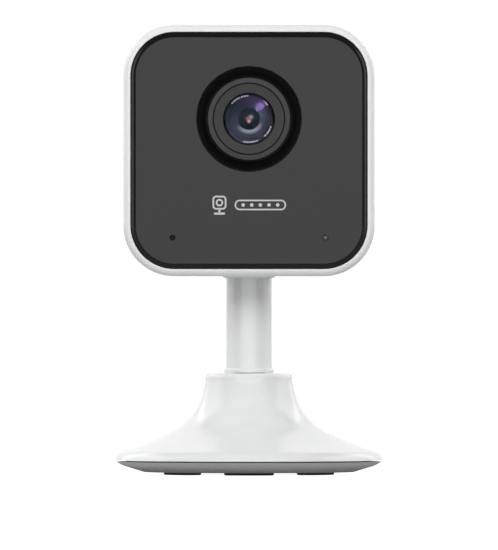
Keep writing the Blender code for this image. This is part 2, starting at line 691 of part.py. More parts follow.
def shell_openings():
    """Everything that pierces the shell: pin, screws, sockets, button and sound holes."""
    wall = HEAD_WALL
    holes = [rod("pin_hole", PIN_RADIUS + RUN, 4 * EAR_X, (0, 0, PIVOT_Z), "X", FINE)]
    for index, (x, z) in enumerate(POSTS):
        middle = REAR_WALL_Y - STANDOFF + SCREW_BITE / 2
        holes.append(rod(f"post_hole_{index + 1}", SCREW_RADIUS + RUN, SCREW_BITE + PILOT_SPARE,
                         (x, middle, z), "Y"))
    holes.append(box("usb_window", (USB_WIDTH + 2 * GAP, 4 * wall, USB_HEIGHT + 2 * GAP),
                     (USB_X, HEAD_REAR_Y - 0.5 * wall, SOCKET_Z)))
    side = MOUTH_HALF + wall / 2
    card_y = BOARD_BACK + GAP + CARD_SOCKET_THICK / 2
    holes.append(box("card_slot", (4 * wall, CARD_SLOT_WIDTH, CARD_SLOT_HEIGHT),
                     (-side, card_y, HEAD_MID_Z + CARD_RISE)))
    holes.append(rod("button_hole", BUTTON_RADIUS + SIDE_GAP, 4 * wall, (-side, BUTTON_Y, BUTTON_Z), "X",
                     FINE))
    for ring in range(GRILLE_RINGS + 1):
        for step in range(max(1, 6 * ring)):
            angle = step * math.tau / max(1, 6 * ring)
            place = (ring * GRILLE_PITCH * math.cos(angle), HEAD_REAR_Y,
                     LENS_Z + ring * GRILLE_PITCH * math.sin(angle))
            holes.append(rod(f"sound_hole_{ring}_{step}", GRILLE_HOLE, 4 * wall, place, "Y", 8))
    return holes


# ---------------------------------------------------------------- front of the head


def port_rods(name, radii, y, length):
    """Cutters for the four small ports: microphone, light and two infrared lamps."""
    places = [(-PORT_X, PORT_Z), (PORT_X, PORT_Z), (-IR_X, IR_Z), (IR_X, IR_Z)]
    return [rod(f"{name}_{i}", radius, length, (x, y, z), "Y", FINE)
            for i, (radius, (x, z)) in enumerate(zip(radii, places)) if radius]


def front_panel(axis):
    panel = rounded_block("front_panel", PANEL_HALF, MOUTH_ROUND - SIDE_GAP, PANEL_Y, PANEL_BACK,
                          front_edge=PANEL_BEVEL)
    middle = (PANEL_Y + PANEL_BACK) / 2
    window = rod("lens_window", BEZEL_RADIUS + SIDE_GAP, 3 * PANEL_THICK, (0, middle, LENS_Z), "Y", SMOOTH)
    drill(panel, [window, *port_rods("panel_port", (MIC_RADIUS, LIGHT_HOLE, 0, 0), middle, 3 * PANEL_THICK)])
    return finish(panel, GLOSS_BLACK, 0.05, axis=axis)


def panel_frame(axis):
    """The plastic frame that the glossy panel is bonded to."""
    corner = MOUTH_ROUND - SIDE_GAP - PANEL_FRAME_INSET
    frame = rounded_block("panel_frame", PANEL_HALF - PANEL_FRAME_INSET, corner, FRAME_Y,
                          FRAME_Y + FRAME_THICK)
    middle = FRAME_Y + FRAME_THICK / 2
    window = rod("frame_window", BEZEL_RADIUS + GAP, 3 * FRAME_THICK, (0, middle, LENS_Z), "Y", SMOOTH)
    radii = [radius + PORT_CLEAR for radius in (BOOT_RADIUS, LIGHT_FLANGE, IR_RADIUS, IR_RADIUS)]
    ports = port_rods("frame_port", radii, middle, 3 * FRAME_THICK)
    drill(frame, [window, *ports])
    return finish(frame, BLACK, 0.6, axis=axis)


def board_outline(notch):
    """A board's outline in x and z. A notch leaves room for the stem's pocket."""
    half = BOARD_HALF
    low = HEAD_MID_Z - half
    high = HEAD_MID_Z + half
    if not notch:
        return [(-half, low), (half, low), (half, high), (-half, high)]
    side = EAR_X + PIN_PROUD + GAP
    top = POCKET_ROOF + 2 * GAP
    return [(-half, low), (-side, low), (-side, top), (side, top), (side, low), (half, low),
            (half, high), (-half, high)]


def front_board(axis):
    """The board behind the panel: microphone, status light and infrared lamps."""
    board = flat_piece("front_board", board_outline(False), FRONT_BOARD_THICK,
                       (0, FRONT_BOARD_Y + FRONT_BOARD_THICK / 2, 0), "Y")
    window = rod("board_window", BARREL_RADIUS + LIP_CLEAR, 4 * FRONT_BOARD_THICK, (0, FRONT_BOARD_Y, LENS_Z),
                 "Y", FINE)
    boolean(board, as_cutter(window))
    return finish(board, BOARD_GREEN, 0.5, axis=axis)


def microphone_boot(axis):
    """A rubber sleeve that ties the panel's sound hole to the microphone."""
    profile = [(MIC_RADIUS, 0), (BOOT_RADIUS, 0), (BOOT_RADIUS, -FRAME_THICK), (MIC_RADIUS, -FRAME_THICK)]
    boot = turned("microphone_boot", profile, (-PORT_X, FRAME_Y, PORT_Z), "Y", SMALL)
    return finish(boot, RUBBER, 0.8, axis=axis)


def light_pipe(axis):
    """A clear pin that carries the status light out through the panel."""
    nose = FRAME_Y - PANEL_Y
    profile = [(0, 0), (LIGHT_RADIUS, 0), (LIGHT_RADIUS, -nose), (LIGHT_FLANGE, -nose),
               (LIGHT_FLANGE, -nose - FRAME_THICK), (0, -nose - FRAME_THICK)]
    pipe = turned("light_pipe", profile, (PORT_X, PANEL_Y, PORT_Z), "Y", SMALL)
    return finish(pipe, (0.7, 0.72, 0.74, 1), 0.2, axis=axis)


def infrared_lamp(axis, side, name):
    profile = [(0, 0), (0.55 * IR_RADIUS, -0.1 * IR_RADIUS), (IR_RADIUS, -0.35 * IR_RADIUS),
               (IR_RADIUS, -FRAME_THICK), (0, -FRAME_THICK)]
    lamp = turned(name, profile, (side * IR_X, FRAME_Y, IR_Z), "Y", SMALL)
    return finish(lamp, (0.05, 0.02, 0.06, 1), 0.1, axis=axis)


# ---------------------------------------------------------------- lens


def lens_part(axis, name, profile, front, color, roughness, metallic=0.0, steps=SMOOTH):
    """A turned piece on the lens's axis. The profile's heights count down from its front."""
    obj = turned(name, profile, (0, front, LENS_Z), "Y", steps)
    return finish(obj, color, roughness, metallic, axis)


def lens_bezel(axis):
    inner = BARREL_RADIUS + SIDE_GAP
    back = -PANEL_THICK - GAP
    lip = TURNED_EDGE / 2
    profile = [(BEZEL_RADIUS - lip, -lip), (BEZEL_RADIUS, -2 * lip), (BEZEL_RADIUS, back),
               (inner, back), (inner, -BEZEL_DEPTH - lip)]
    return lens_part(axis, "lens_bezel", profile, PANEL_Y, GLOSS_BLACK, 0.08)


def lens_barrel(axis):
    """The focus barrel: a wide front lip round the retaining ring, and a bore for the glass."""
    lip = RING_RADIUS + SIDE_GAP
    seat = -RING_THICK - GAP
    edge = TURNED_EDGE
    profile = [(lip + edge, 0), (BARREL_RADIUS - edge, 0), (BARREL_RADIUS, -edge),
               (BARREL_RADIUS, -BARREL_LENGTH), (BORE_RADIUS, -BARREL_LENGTH), (BORE_RADIUS, seat),
               (lip, seat), (lip, -edge)]
    return lens_part(axis, "lens_barrel", profile, BARREL_Y, BARREL_GREY, 0.35)


def retaining_ring(axis):
    edge = TURNED_EDGE
    profile = [(BORE_RADIUS + edge, -2 * edge), (RING_RADIUS - edge, -edge / 2),
               (RING_RADIUS, -1.5 * edge), (RING_RADIUS, -RING_THICK), (BORE_RADIUS, -RING_THICK),
               (BORE_RADIUS, -3 * edge)]
    return lens_part(axis, "lens_retaining_ring", profile, BARREL_Y, BARREL_GREY, 0.4)


def dome(radius, rise, steps=4):
    """Points of a shallow spherical cap, from its middle out to its edge."""
    ball = (radius * radius + rise * rise) / (2 * rise)
    radii = [radius * i / steps for i in range(steps + 1)]
    return [(r, math.sqrt(ball * ball - r * r) - ball) for r in radii]


def front_element(axis):
    back = -GLASS_RISE - GLASS_THICK
    profile = [*dome(GLASS_RADIUS, GLASS_RISE), (GLASS_RADIUS, back), (0, back)]
    return lens_part(axis, "front_element", profile, GLASS_Y, GLASS, 0.02)


def aperture_stop(axis):
    profile = [(IRIS_RADIUS, 0), (GLASS_RADIUS, 0), (GLASS_RADIUS, -IRIS_THICK), (IRIS_RADIUS, -IRIS_THICK)]
    return lens_part(axis, "aperture_stop", profile, IRIS_Y, BLACK, 0.7, steps=FINE)


def inner_element(axis):
    front = dome(INNER_GLASS_RADIUS, INNER_GLASS_RISE)
    back = [(r, -2 * INNER_GLASS_RISE - INNER_GLASS_MIDDLE - z) for r, z in reversed(front)]
    return lens_part(axis, "inner_element", front + back, IRIS_Y + IRIS_THICK + GAP, GLASS, 0.02, steps=FINE)


def lens_holder(axis):
    """The mount behind the barrel. The infrared filter lies on its inner ledge, over the sensor."""
    depth = HOLDER_DEPTH
    middle = HOLDER_Y + depth / 2
    holder = box("lens_holder", (HOLDER_SIDE, depth, HOLDER_SIDE), (0, middle, LENS_Z))
    window = rod("holder_window", HOLDER_WINDOW, 2 * depth, (0, middle, LENS_Z), "Y", FINE)
    boolean(holder, as_cutter(window))
    ledge = HOLDER_BACK - FILTER_LEDGE
    bore = rod("holder_bore", BORE_RADIUS, 2 * depth, (0, ledge - depth, LENS_Z), "Y", FINE)
    boolean(holder, as_cutter(bore))
    room = SENSOR_SIZE + SENSOR_ROOM
    boolean(holder, as_cutter(box("sensor_room", (room.x, 2 * room.y, room.z), (0, HOLDER_BACK, LENS_Z))))
    return finish(holder, BLACK, 0.6, axis=axis)


def filter_and_sensor(axis):
    pane = box("infrared_filter", (FILTER_SIDE, FILTER_THICK, FILTER_SIDE),
               (0, HOLDER_BACK - FILTER_LEDGE - GAP - FILTER_THICK / 2, LENS_Z))
    finish(pane, (0.5, 0.3, 0.35, 1), 0.02, axis=axis)
    chip = box("image_sensor", SENSOR_SIZE, (0, HOLDER_BACK - SENSOR_SIZE.y / 2, LENS_Z))
    finish(chip, (0.03, 0.03, 0.05, 1), 0.3, axis=axis)


# ---------------------------------------------------------------- electronics and controls


def main_board(axis):
    board = flat_piece("main_board", board_outline(True), MAIN_BOARD_THICK,
                       (0, BOARD_Y + MAIN_BOARD_THICK / 2, 0), "Y")
    drill(board, [rod(f"board_hole_{i}", SCREW_RADIUS + SIDE_GAP, 4 * MAIN_BOARD_THICK, (x, BOARD_Y, z), "Y")
                  for i, (x, z) in enumerate(POSTS)])
    return finish(board, BOARD_GREEN, 0.5, axis=axis)


def head_screw(axis, index):
    x, z = POSTS[index]
    front = BOARD_Y - GAP - SCREW_HEAD_THICK
    reach = MAIN_BOARD_THICK + 2 * GAP + SCREW_BITE - PILOT_SPARE
    return finish(screw(f"head_screw_{index + 1}", (x, front, z), "Y", length=reach), STEEL, 0.35, 1.0,
                  axis)


def processor_shield(axis):
    """The pressed can over the processor."""
    x = BOARD_HALF - SHIELD_MARGIN - SHIELD_SIDE / 2
    can = box("processor_shield", (SHIELD_SIDE, SHIELD_THICK, SHIELD_SIDE),
              (x, BOARD_BACK + GAP + SHIELD_THICK / 2, POCKET_ROOF + SHIELD_RISE + SHIELD_SIDE / 2))
    return finish(can, STEEL, 0.4, 1.0, axis)


def usb_socket(axis):
    """The power inlet, upright, with its mouth in the rear wall."""
    front = BOARD_BACK + GAP
    back = REAR_WALL_Y + 0.5 * HEAD_WALL
    shell = box("usb_socket", (USB_WIDTH, back - front, USB_HEIGHT), (USB_X, (front + back) / 2, SOCKET_Z))
    mouth = box("usb_mouth", (USB_WIDTH - 2 * USB_SHELL, 2 * USB_MOUTH_DEPTH, USB_HEIGHT - 2 * USB_SHELL),
                (USB_X, back, SOCKET_Z))
    root = back - USB_MOUTH_DEPTH - USB_SHELL
    tongue = box("usb_tongue", USB_TONGUE, (USB_X, root, SOCKET_Z))
    boolean(as_cutter(mouth), as_cutter(tongue))
    boolean(shell, mouth)
    return finish(shell, STEEL, 0.3, 1.0, axis)


def card_socket(axis):
    """The memory card's socket. Its slot opens through the side wall."""
    left = -MOUTH_HALF + GAP
    y = BOARD_BACK + GAP + CARD_SOCKET_THICK / 2
    z = HEAD_MID_Z + CARD_RISE
    height = CARD_SLOT_HEIGHT + 2 * CARD_SOCKET_SIDES
    socket = box("card_socket", (CARD_SOCKET_LENGTH, CARD_SOCKET_THICK, height),
                 (left + CARD_SOCKET_LENGTH / 2, y, z))
    mouth = box("card_mouth", (2 * CARD_MOUTH_DEPTH, CARD_SLOT_WIDTH - 2 * GAP, CARD_SLOT_HEIGHT - 2 * GAP),
                (left, y, z))
    boolean(socket, as_cutter(mouth))
    return finish(socket, STEEL, 0.35, 1.0, axis)


def reset_switch(axis):
    left = BUTTON_TIP + BUTTON_TRAVEL + SWITCH_SPARE
    switch = box("reset_switch", SWITCH_SIZE, (left + SWITCH_SIZE.x / 2, BUTTON_Y, BUTTON_Z))
    return finish(switch, (0.05, 0.05, 0.05, 1), 0.5, axis=axis)


def reset_button(axis):
    """A stepped plunger: its flange keeps it behind the wall."""
    outside = -HEAD_HALF
    step = outside - (-MOUTH_HALF + GAP)
    end = outside - BUTTON_TIP
    wide = BUTTON_RADIUS + BUTTON_FLANGE
    profile = [(0, 0), (BUTTON_RADIUS - TURNED_EDGE, 0), (BUTTON_RADIUS, -TURNED_EDGE), (BUTTON_RADIUS, step),
               (wide, step), (wide, step - BUTTON_FLANGE), (BUTTON_NOSE, step - BUTTON_FLANGE),
               (BUTTON_NOSE, end), (0, end)]
    button = turned("reset_button", profile, (outside, BUTTON_Y, BUTTON_Z), steps=SMALL)
    button.rotation_euler = (0, -math.pi / 2, 0)
    return finish(button, OFF_WHITE, 0.4, axis=axis)


def speaker(axis):
    """The speaker's can and magnet. Its cone faces the holes in the rear wall."""
    r = SPEAKER_RADIUS
    d = SPEAKER_DEPTH
    profile = [(0, 0), (0.55 * r, 0), (0.55 * r, -0.4 * d), (0.92 * r, -0.4 * d), (r, -0.55 * d),
               (r, -d), (0.9 * r, -d), (0.84 * r, -0.8 * d), (0.3 * r, -0.62 * d), (0, -0.75 * d)]
    obj = turned("speaker", profile, (0, REAR_WALL_Y - GAP - d, LENS_Z), "Y", FINE)
    return finish(obj, (0.03, 0.03, 0.03, 1), 0.5, axis=axis)


def antenna(axis):
    top = HEAD_MID_Z + MOUTH_HALF - GAP
    strip = box("wifi_antenna", AERIAL_SIZE, (0, AERIAL_Y, top - AERIAL_SIZE.z / 2))
    return finish(strip, (0.55, 0.35, 0.12, 1), 0.4, axis=axis)


def ribbon_cable(axis):
    """The flat cable that links the two boards, with one soft wave in it."""
    start = FRONT_BOARD_Y + FRONT_BOARD_THICK + GAP
    end = BOARD_Y - GAP
    level = POCKET_ROOF + RIBBON_RISE
    steps = 10
    wave = [(start + (end - start) * i / steps, level + RIBBON_WAVE * math.sin(math.tau * i / steps))
            for i in range(steps + 1)]
    outline = wave + [(y, z + RIBBON_THICK) for y, z in reversed(wave)]
    x = -BOARD_HALF + RIBBON_MARGIN + RIBBON_WIDTH / 2
    cable = flat_piece("ribbon_cable", outline, RIBBON_WIDTH, (x, 0, 0), "X")
    return finish(cable, (0.7, 0.62, 0.45, 1), 0.4, axis=axis)


# ---------------------------------------------------------------- assembly


def build():
    clear_scene()
    base_shell()
    base_plate()
    ballast_ring()
    friction_ring()
    for index in range(FOOT_COUNT):
        rubber_foot(index)
    for index in range(BASE_SCREWS):
        base_screw(index)

    pan = joint_axis("pan_axis", Vector((0, 0, TURRET_TOP)))
    stem(pan)
    swivel_washer(pan)
    swivel_screw(pan)

    tilt = joint_axis("tilt_axis", Vector((0, 0, PIVOT_Z)), pan)
    head_shell(tilt)
    front_panel(tilt)
    panel_frame(tilt)
    tilt_pin(tilt)
    tilt_washer(tilt, -1, "tilt_washer_left")
    tilt_washer(tilt, 1, "tilt_washer_right")
    lens_bezel(tilt)
    lens_barrel(tilt)
    retaining_ring(tilt)
    front_element(tilt)
    aperture_stop(tilt)
    inner_element(tilt)
    lens_holder(tilt)
    filter_and_sensor(tilt)
    front_board(tilt)
    microphone_boot(tilt)
    light_pipe(tilt)
    infrared_lamp(tilt, -1, "infrared_lamp_left")
    infrared_lamp(tilt, 1, "infrared_lamp_right")
    main_board(tilt)
    processor_shield(tilt)
    usb_socket(tilt)
    card_socket(tilt)
    reset_switch(tilt)
    speaker(tilt)
    antenna(tilt)
    ribbon_cable(tilt)
    for index in range(len(POSTS)):
        head_screw(tilt, index)

    press = joint_axis("reset_axis", Vector((-HEAD_HALF, BUTTON_Y, BUTTON_Z)), tilt)
    reset_button(press)


build()
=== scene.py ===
# %% [markdown]
# # A small indoor security camera
#
# The object has a square head with a dark glossy front, a plain post, and a trumpet-shaped base
# with a grey dish and rubber feet under it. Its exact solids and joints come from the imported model,
# so this lesson only adds what an eye would miss there: round surfaces that are really round, soft
# edges, printed marks, glass, and finishes with grain and wear.
#
# Every cell makes one piece or one finish. Shapes are worked out in millimetres, because that is how
# a part like this is drawn, and they become metres when the mesh is made.

import math

import bpy
import numpy as np
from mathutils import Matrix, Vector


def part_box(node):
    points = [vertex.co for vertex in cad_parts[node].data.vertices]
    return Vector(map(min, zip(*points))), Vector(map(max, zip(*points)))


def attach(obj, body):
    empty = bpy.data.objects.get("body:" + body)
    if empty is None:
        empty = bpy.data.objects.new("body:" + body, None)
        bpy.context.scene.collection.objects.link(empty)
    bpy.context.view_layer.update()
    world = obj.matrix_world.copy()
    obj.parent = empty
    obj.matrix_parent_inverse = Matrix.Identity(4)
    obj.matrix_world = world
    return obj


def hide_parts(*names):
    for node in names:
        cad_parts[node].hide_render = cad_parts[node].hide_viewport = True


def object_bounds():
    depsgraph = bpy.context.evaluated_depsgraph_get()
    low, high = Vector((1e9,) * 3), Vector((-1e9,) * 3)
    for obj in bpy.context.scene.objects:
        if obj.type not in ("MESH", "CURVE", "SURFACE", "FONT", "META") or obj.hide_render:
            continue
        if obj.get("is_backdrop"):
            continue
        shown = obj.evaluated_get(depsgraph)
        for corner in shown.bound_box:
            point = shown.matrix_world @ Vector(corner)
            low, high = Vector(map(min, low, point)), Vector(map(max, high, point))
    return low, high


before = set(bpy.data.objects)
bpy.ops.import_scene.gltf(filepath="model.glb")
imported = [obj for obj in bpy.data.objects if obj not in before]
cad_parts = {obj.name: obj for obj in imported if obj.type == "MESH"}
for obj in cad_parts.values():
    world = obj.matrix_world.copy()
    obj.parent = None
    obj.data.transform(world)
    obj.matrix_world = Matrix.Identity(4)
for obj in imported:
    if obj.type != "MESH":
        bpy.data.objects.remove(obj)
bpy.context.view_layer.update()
METRES_PER_MM = 0.001

# %% [markdown]
# ## Where things are
#
# A node's box says where it sits. Reading positions from the boxes, instead of typing them again,
# keeps every new surface on the solid that it stands for, even if the solid is changed one day.

# %% Positions, read from the nodes' boxes


def span(node):
    """The lowest and highest corner of a node, in millimetres."""
    low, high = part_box(node)
    return np.array(low) / METRES_PER_MM, np.array(high) / METRES_PER_MM


def middle_of(node):
    """The middle of a node's box, in millimetres."""
    low, high = span(node)
    return (low + high) / 2


head_low, head_high = span("head_shell")
panel_low, panel_high = span("front_panel")
barrel_low, barrel_high = span("lens_barrel")
stem_low = span("stem")[0]
shell_high = span("base_shell")[1]
plate_low = span("base_plate")[0]

HEAD_HALF = (head_high[0] - head_low[0]) / 2
HEAD_MIDDLE = head_high[2] - HEAD_HALF
LENS_HEIGHT = middle_of("lens_barrel")[2]
PIVOT_HEIGHT = middle_of("tilt_pin")[2]
TURRET_TOP = shell_high[2]
BASE_RADIUS = shell_high[0]
print(f"head {2 * HEAD_HALF:.1f} mm square about z {HEAD_MIDDLE:.1f}, lens z {LENS_HEIGHT:.1f},",
      f"pivot z {PIVOT_HEIGHT:.1f}, turret top {TURRET_TOP:.2f}, base radius {BASE_RADIUS:.2f}")

# %% [markdown]
# ## The viewer
#
# A product picture of a thing this small is taken from far away with a long lens, so that its
# front and its rear are almost the same size. The camera looks level at the middle of the
# picture's height. The focal length follows from how much height the picture takes in.

# %% The camera
VIEW_DISTANCE = 4.0
VIEW_HEIGHT = 0.0475
PICTURE_HEIGHT = 0.1309
SENSOR = 36.0

viewer = bpy.data.cameras.new("viewer")
viewer.sensor_width = SENSOR
viewer.lens = SENSOR * VIEW_DISTANCE / PICTURE_HEIGHT
viewer_object = bpy.data.objects.new("viewer", viewer)
viewer_object.location = (0, -VIEW_DISTANCE, VIEW_HEIGHT)
viewer_object.rotation_euler = (math.pi / 2, 0, 0)
bpy.context.scene.collection.objects.link(viewer_object)
bpy.context.scene.camera = viewer_object
bpy.context.scene.view_settings.view_transform = "Standard"
print(f"lens {viewer.lens:.0f} mm")

# %% [markdown]
# ## Surfaces from grids
#
# Most pieces here are a curve carried round something: round an axis for turned parts, or round a
# rounded square for the head. Both give a grid of points, rows along the curve and columns round
# it, so one helper can turn any of them into a mesh. A row whose points all coincide becomes a
# single pole with a fan of triangles, which keeps the surface closed.

# %% A mesh from a grid of points


def skin_faces(points, closed_rows):
    """Faces between neighbouring rows and columns, and fans where a row has shrunk to a pole."""
    rows, columns = points.shape[:2]
    number = np.arange(rows * columns).reshape(rows, columns)
    pole = np.ptp(points, axis=1).max(axis=1) < 1e-6
    number[pole] = number[pole, :1]
    right = np.roll(number, -1, axis=1)
    quads = np.stack([number, right, np.roll(right, -1, axis=0), np.roll(number, -1, axis=0)], axis=-1)
    quads = quads[:rows if closed_rows else rows - 1].reshape(-1, 4)
    first = quads[:, 0] == quads[:, 1]
    last = quads[:, 2] == quads[:, 3]
    return quads[~(first | last)], np.concatenate([quads[first & ~last][:, [0, 2, 3]],
                                                   quads[last & ~first][:, [0, 1, 2]]])


def enclosed(points, quads, triangles):
    """Six times the volume inside: positive when the faces point outwards."""
    every = np.concatenate([quads[:, [0, 1, 2]], quads[:, [0, 2, 3]], triangles])
    a, b, c = points[every[:, 0]], points[every[:, 1]], points[every[:, 2]]
    return np.einsum("ij,ij->i", a, np.cross(b, c)).sum()


def make_mesh(name, points, polygons, edge=None, crease=38):
    """Put millimetre points and their polygons into a smooth mesh that keeps its real corners."""
    mesh = bpy.data.meshes.new(name)
    mesh.from_pydata((points * METRES_PER_MM).tolist(), [], polygons)
    mesh.shade_smooth()
    mesh.set_sharp_from_angle(angle=math.radians(crease))
    if edge is not None:
        rub = mesh.attributes.new("edge", "FLOAT", "POINT")
        rub.data.foreach_set("value", np.asarray(edge, np.float32))
    piece = bpy.data.objects.new(name, mesh)
    bpy.context.scene.collection.objects.link(piece)
    return piece


def skin(name, points, closed_rows=False, edge=None, crease=38):
    """A closed surface from a grid: rows x columns x 3, closed round the columns."""
    quads, triangles = skin_faces(points, closed_rows)
    flat = points.reshape(-1, 3)
    if enclosed(flat - flat.mean(axis=0), quads, triangles) < 0:
        quads = quads[:, ::-1]
        triangles = triangles[:, ::-1]
    used, renumbered = np.unique(np.concatenate([quads.ravel(), triangles.ravel()]), return_inverse=True)
    quads = renumbered[:quads.size].reshape(-1, 4)
    triangles = renumbered[quads.size:].reshape(-1, 3)
    if edge is not None:
        edge = np.repeat(edge, points.shape[1])[used]
    return make_mesh(name, flat[used], quads.tolist() + triangles.tolist(), edge, crease)


# %% [markdown]
# ## Profiles with soft corners
#
# Nothing that is moulded or turned has a perfectly sharp edge, and it is the small round that
# catches the light. So a profile is given as corners, each with its own radius, and the helper
# replaces every corner by an arc that is tangent to both sides. It also puts a guard point beside
# each arc, so that the smooth shading of the round doesn't leak into the flat next to it, and it
# marks the arcs as edges, where a finish rubs off first.

# %% Corners into arcs
ARC_STEPS = 6
GUARD = 0.35


def soft_profile(corners, closed=False, steps=ARC_STEPS):
    """Points along the corners (u, v, radius), and for each point how much it is an edge.

    At a corner with sides that meet at an angle t, the arc starts radius / tan(t / 2) before it,
    and its centre lies radius / sin(t / 2) along the line that halves the angle. What a side has
    left between its two arcs is its room, and a guard takes at most two fifths of that.
    """
    places = np.array([corner[:2] for corner in corners], float)
    radii = np.array([corner[2] for corner in corners], float)
    if not closed:
        radii[[0, -1]] = 0
    after = np.roll(places, -1, axis=0) - places
    length = np.linalg.norm(after, axis=1)
    after = after / length[:, None]
    before = -np.roll(after, 1, axis=0)
    half = np.arccos(np.clip((before * after).sum(axis=1), -1, 1)) / 2
    run = np.where(radii > 0, radii / np.tan(np.maximum(half, 0.01)), 0)
    room = length - run - np.roll(run, -1)
    guard_after = np.minimum(GUARD * radii, 0.4 * room)
    guard_before = np.minimum(GUARD * radii, 0.4 * np.roll(room, 1))
    share = np.linspace(0, 1, steps + 1)[:, None]
    points, edge = [], []
    for i, radius in enumerate(radii):
        here = places[i]
        if radius == 0:
            points.append(here[None])
            edge.append(np.zeros(1))
            continue
        middle = before[i] + after[i]
        centre = here + middle / np.linalg.norm(middle) * radius / math.sin(half[i])
        start = here + before[i] * run[i] - centre
        stop = here + after[i] * run[i] - centre
        turn = math.pi - 2 * half[i]
        arc = centre + (np.sin((1 - share) * turn) * start + np.sin(share * turn) * stop) / math.sin(turn)
        guard_in = here + before[i] * (run[i] + guard_before[i])
        guard_out = here + after[i] * (run[i] + guard_after[i])
        points.append(np.concatenate([guard_in[None], arc, guard_out[None]]))
        edge.append(np.concatenate([[0], np.sin(share[:, 0] * math.pi), [0]]))
    return np.concatenate(points), np.concatenate(edge)


# %% [markdown]
# ## Turned parts
#
# A turned part is its profile swung round an axis: each point (radius, height) becomes a circle.
# The base and the post turn about the upright axis, and the lens about the axis that it looks along.

# %% Swing a profile round an axis
ROUND_COLUMNS = 160


def about_upright(profile, columns=ROUND_COLUMNS, centre=(0, 0)):
    """(r cos a, r sin a, h) for every profile point and every angle."""
    angle = np.arange(columns) * math.tau / columns
    radius, height = profile[:, :1], profile[:, 1:]
    return np.stack([centre[0] + radius * np.cos(angle), centre[1] + radius * np.sin(angle),
                     height + 0 * angle], axis=-1)


def about_lens(profile, columns=ROUND_COLUMNS, centre=(0, None)):
    """(r cos a, y, r sin a): the profile's second number is the depth y, negative to the front."""
    angle = np.arange(columns) * math.tau / columns
    radius, depth = profile[:, :1], profile[:, 1:]
    middle = LENS_HEIGHT if centre[1] is None else centre[1]
    return np.stack([centre[0] + radius * np.cos(angle), depth + 0 * angle,
                     middle + radius * np.sin(angle)], axis=-1)


def turned_piece(name, corners, round_about=about_upright, closed=False, columns=ROUND_COLUMNS,
                 centre=None, steps=ARC_STEPS):
    """A profile of corners (radius, height, round) swung into a closed skin."""
    profile, edge = soft_profile(corners, closed, steps)
    grid = round_about(profile, columns, centre) if centre is not None else round_about(profile, columns)
    return skin(name, grid, closed, edge)


# %% [markdown]
# ## Rounded squares
#
# The head, its panel and the printed marks share one outline: straight sides joined by quarter
# circles. Written as (half - corner) * LONG + corner * ROUND, where LONG holds the corner centres
# and the run of the sides and ROUND holds the unit arcs, the same columns serve every size. So a
# wall of constant thickness, a bevel and a rounded rear edge are all just rows of this one grid.

# %% The rounded square as two constant arrays
CORNER_STEPS = 16
SIDE_STOPS = np.array([0.03, 0.12, 0.25, 0.375, 0.5, 0.625, 0.75, 0.88, 0.97])


def quarter_turns(points):
    """The points, and the same points turned by one, two and three right angles."""
    x, y = points[:, 0], points[:, 1]
    return np.concatenate([np.stack(pair, axis=1) for pair in ((x, y), (-y, x), (-x, -y), (y, -x))])


bend = np.linspace(0, math.pi / 2, CORNER_STEPS + 1)
LONG = quarter_turns(np.concatenate([np.ones((bend.size, 2)),
                                     np.stack([1 - 2 * SIDE_STOPS, 1 + 0 * SIDE_STOPS], axis=1)]))
ROUND = quarter_turns(np.concatenate([np.stack([np.cos(bend), np.sin(bend)], axis=1),
                                      np.stack([0 * SIDE_STOPS, 1 + 0 * SIDE_STOPS], axis=1)]))


def rounded_square(half, corner):
    """Outline points for one size, or one outline per row for arrays of sizes."""
    half = np.atleast_1d(half)[:, None, None]
    corner = np.atleast_1d(corner)[:, None, None]
    return (half - corner) * LONG + corner * ROUND


def square_grid(half, corner, depth):
    """Rounded squares about the head's middle, one row for each half size, corner and depth."""
    outline = rounded_square(half, corner)
    depth = np.broadcast_to(np.atleast_1d(depth)[:, None], outline.shape[:2])
    return np.stack([outline[..., 0], depth, HEAD_MIDDLE + outline[..., 1]], axis=-1)


print("outline columns:", len(LONG))

# %% [markdown]
# ## Openings
#
# A slot or a drilled hole is easiest to make by taking a second shape away. The Boolean's result
# is baked into a plain mesh at once and the cutters are thrown away, so that nothing hidden is
# left in the scene. The cutters are prisms: an outline pushed along one axis.

# %% Prisms and Booleans


def prism(name, outline, start, stop, along="y"):
    """An outline pushed from start to stop: (x, z) along y, (y, z) along x, (x, y) along z."""
    count = len(outline)
    ends = np.repeat([start, stop], count)
    u = np.tile(outline[:, 0], 2)
    v = np.tile(outline[:, 1], 2)
    order = {"y": (u, ends, v), "x": (ends, u, v), "z": (u, v, ends)}[along]
    points = np.stack(order, axis=-1)
    ring = np.arange(count)
    after = np.roll(ring, -1)
    sides = np.stack([ring, after, after + count, ring + count], axis=1)
    fan = np.stack([0 * ring[1:-1], ring[1:-1], ring[2:]], axis=1)
    inside = enclosed(points - points.mean(axis=0), sides,
                      np.concatenate([fan[:, ::-1], fan + count]))
    polygons = sides.tolist() + [ring[::-1].tolist(), (ring + count).tolist()]
    if inside < 0:
        polygons = [polygon[::-1] for polygon in polygons]
    return make_mesh(name, points, polygons)


def circle(radius, centre=(0, 0), columns=32):
    """A circle's points, starting half a step round so that none lies straight above the centre."""
    angle = (np.arange(columns) + 0.5) * math.tau / columns
    return np.stack([centre[0] + radius * np.cos(angle), centre[1] + radius * np.sin(angle)], axis=1)


def rounded_box(width, height, corner, centre=(0, 0), steps=6):
    """A rectangle's outline with round corners."""
    w, h = width / 2, height / 2
    corners = [(w, -h, corner), (w, h, corner), (-w, h, corner), (-w, -h, corner)]
    points, _ = soft_profile(corners, closed=True, steps=steps)
    return points + np.array(centre)


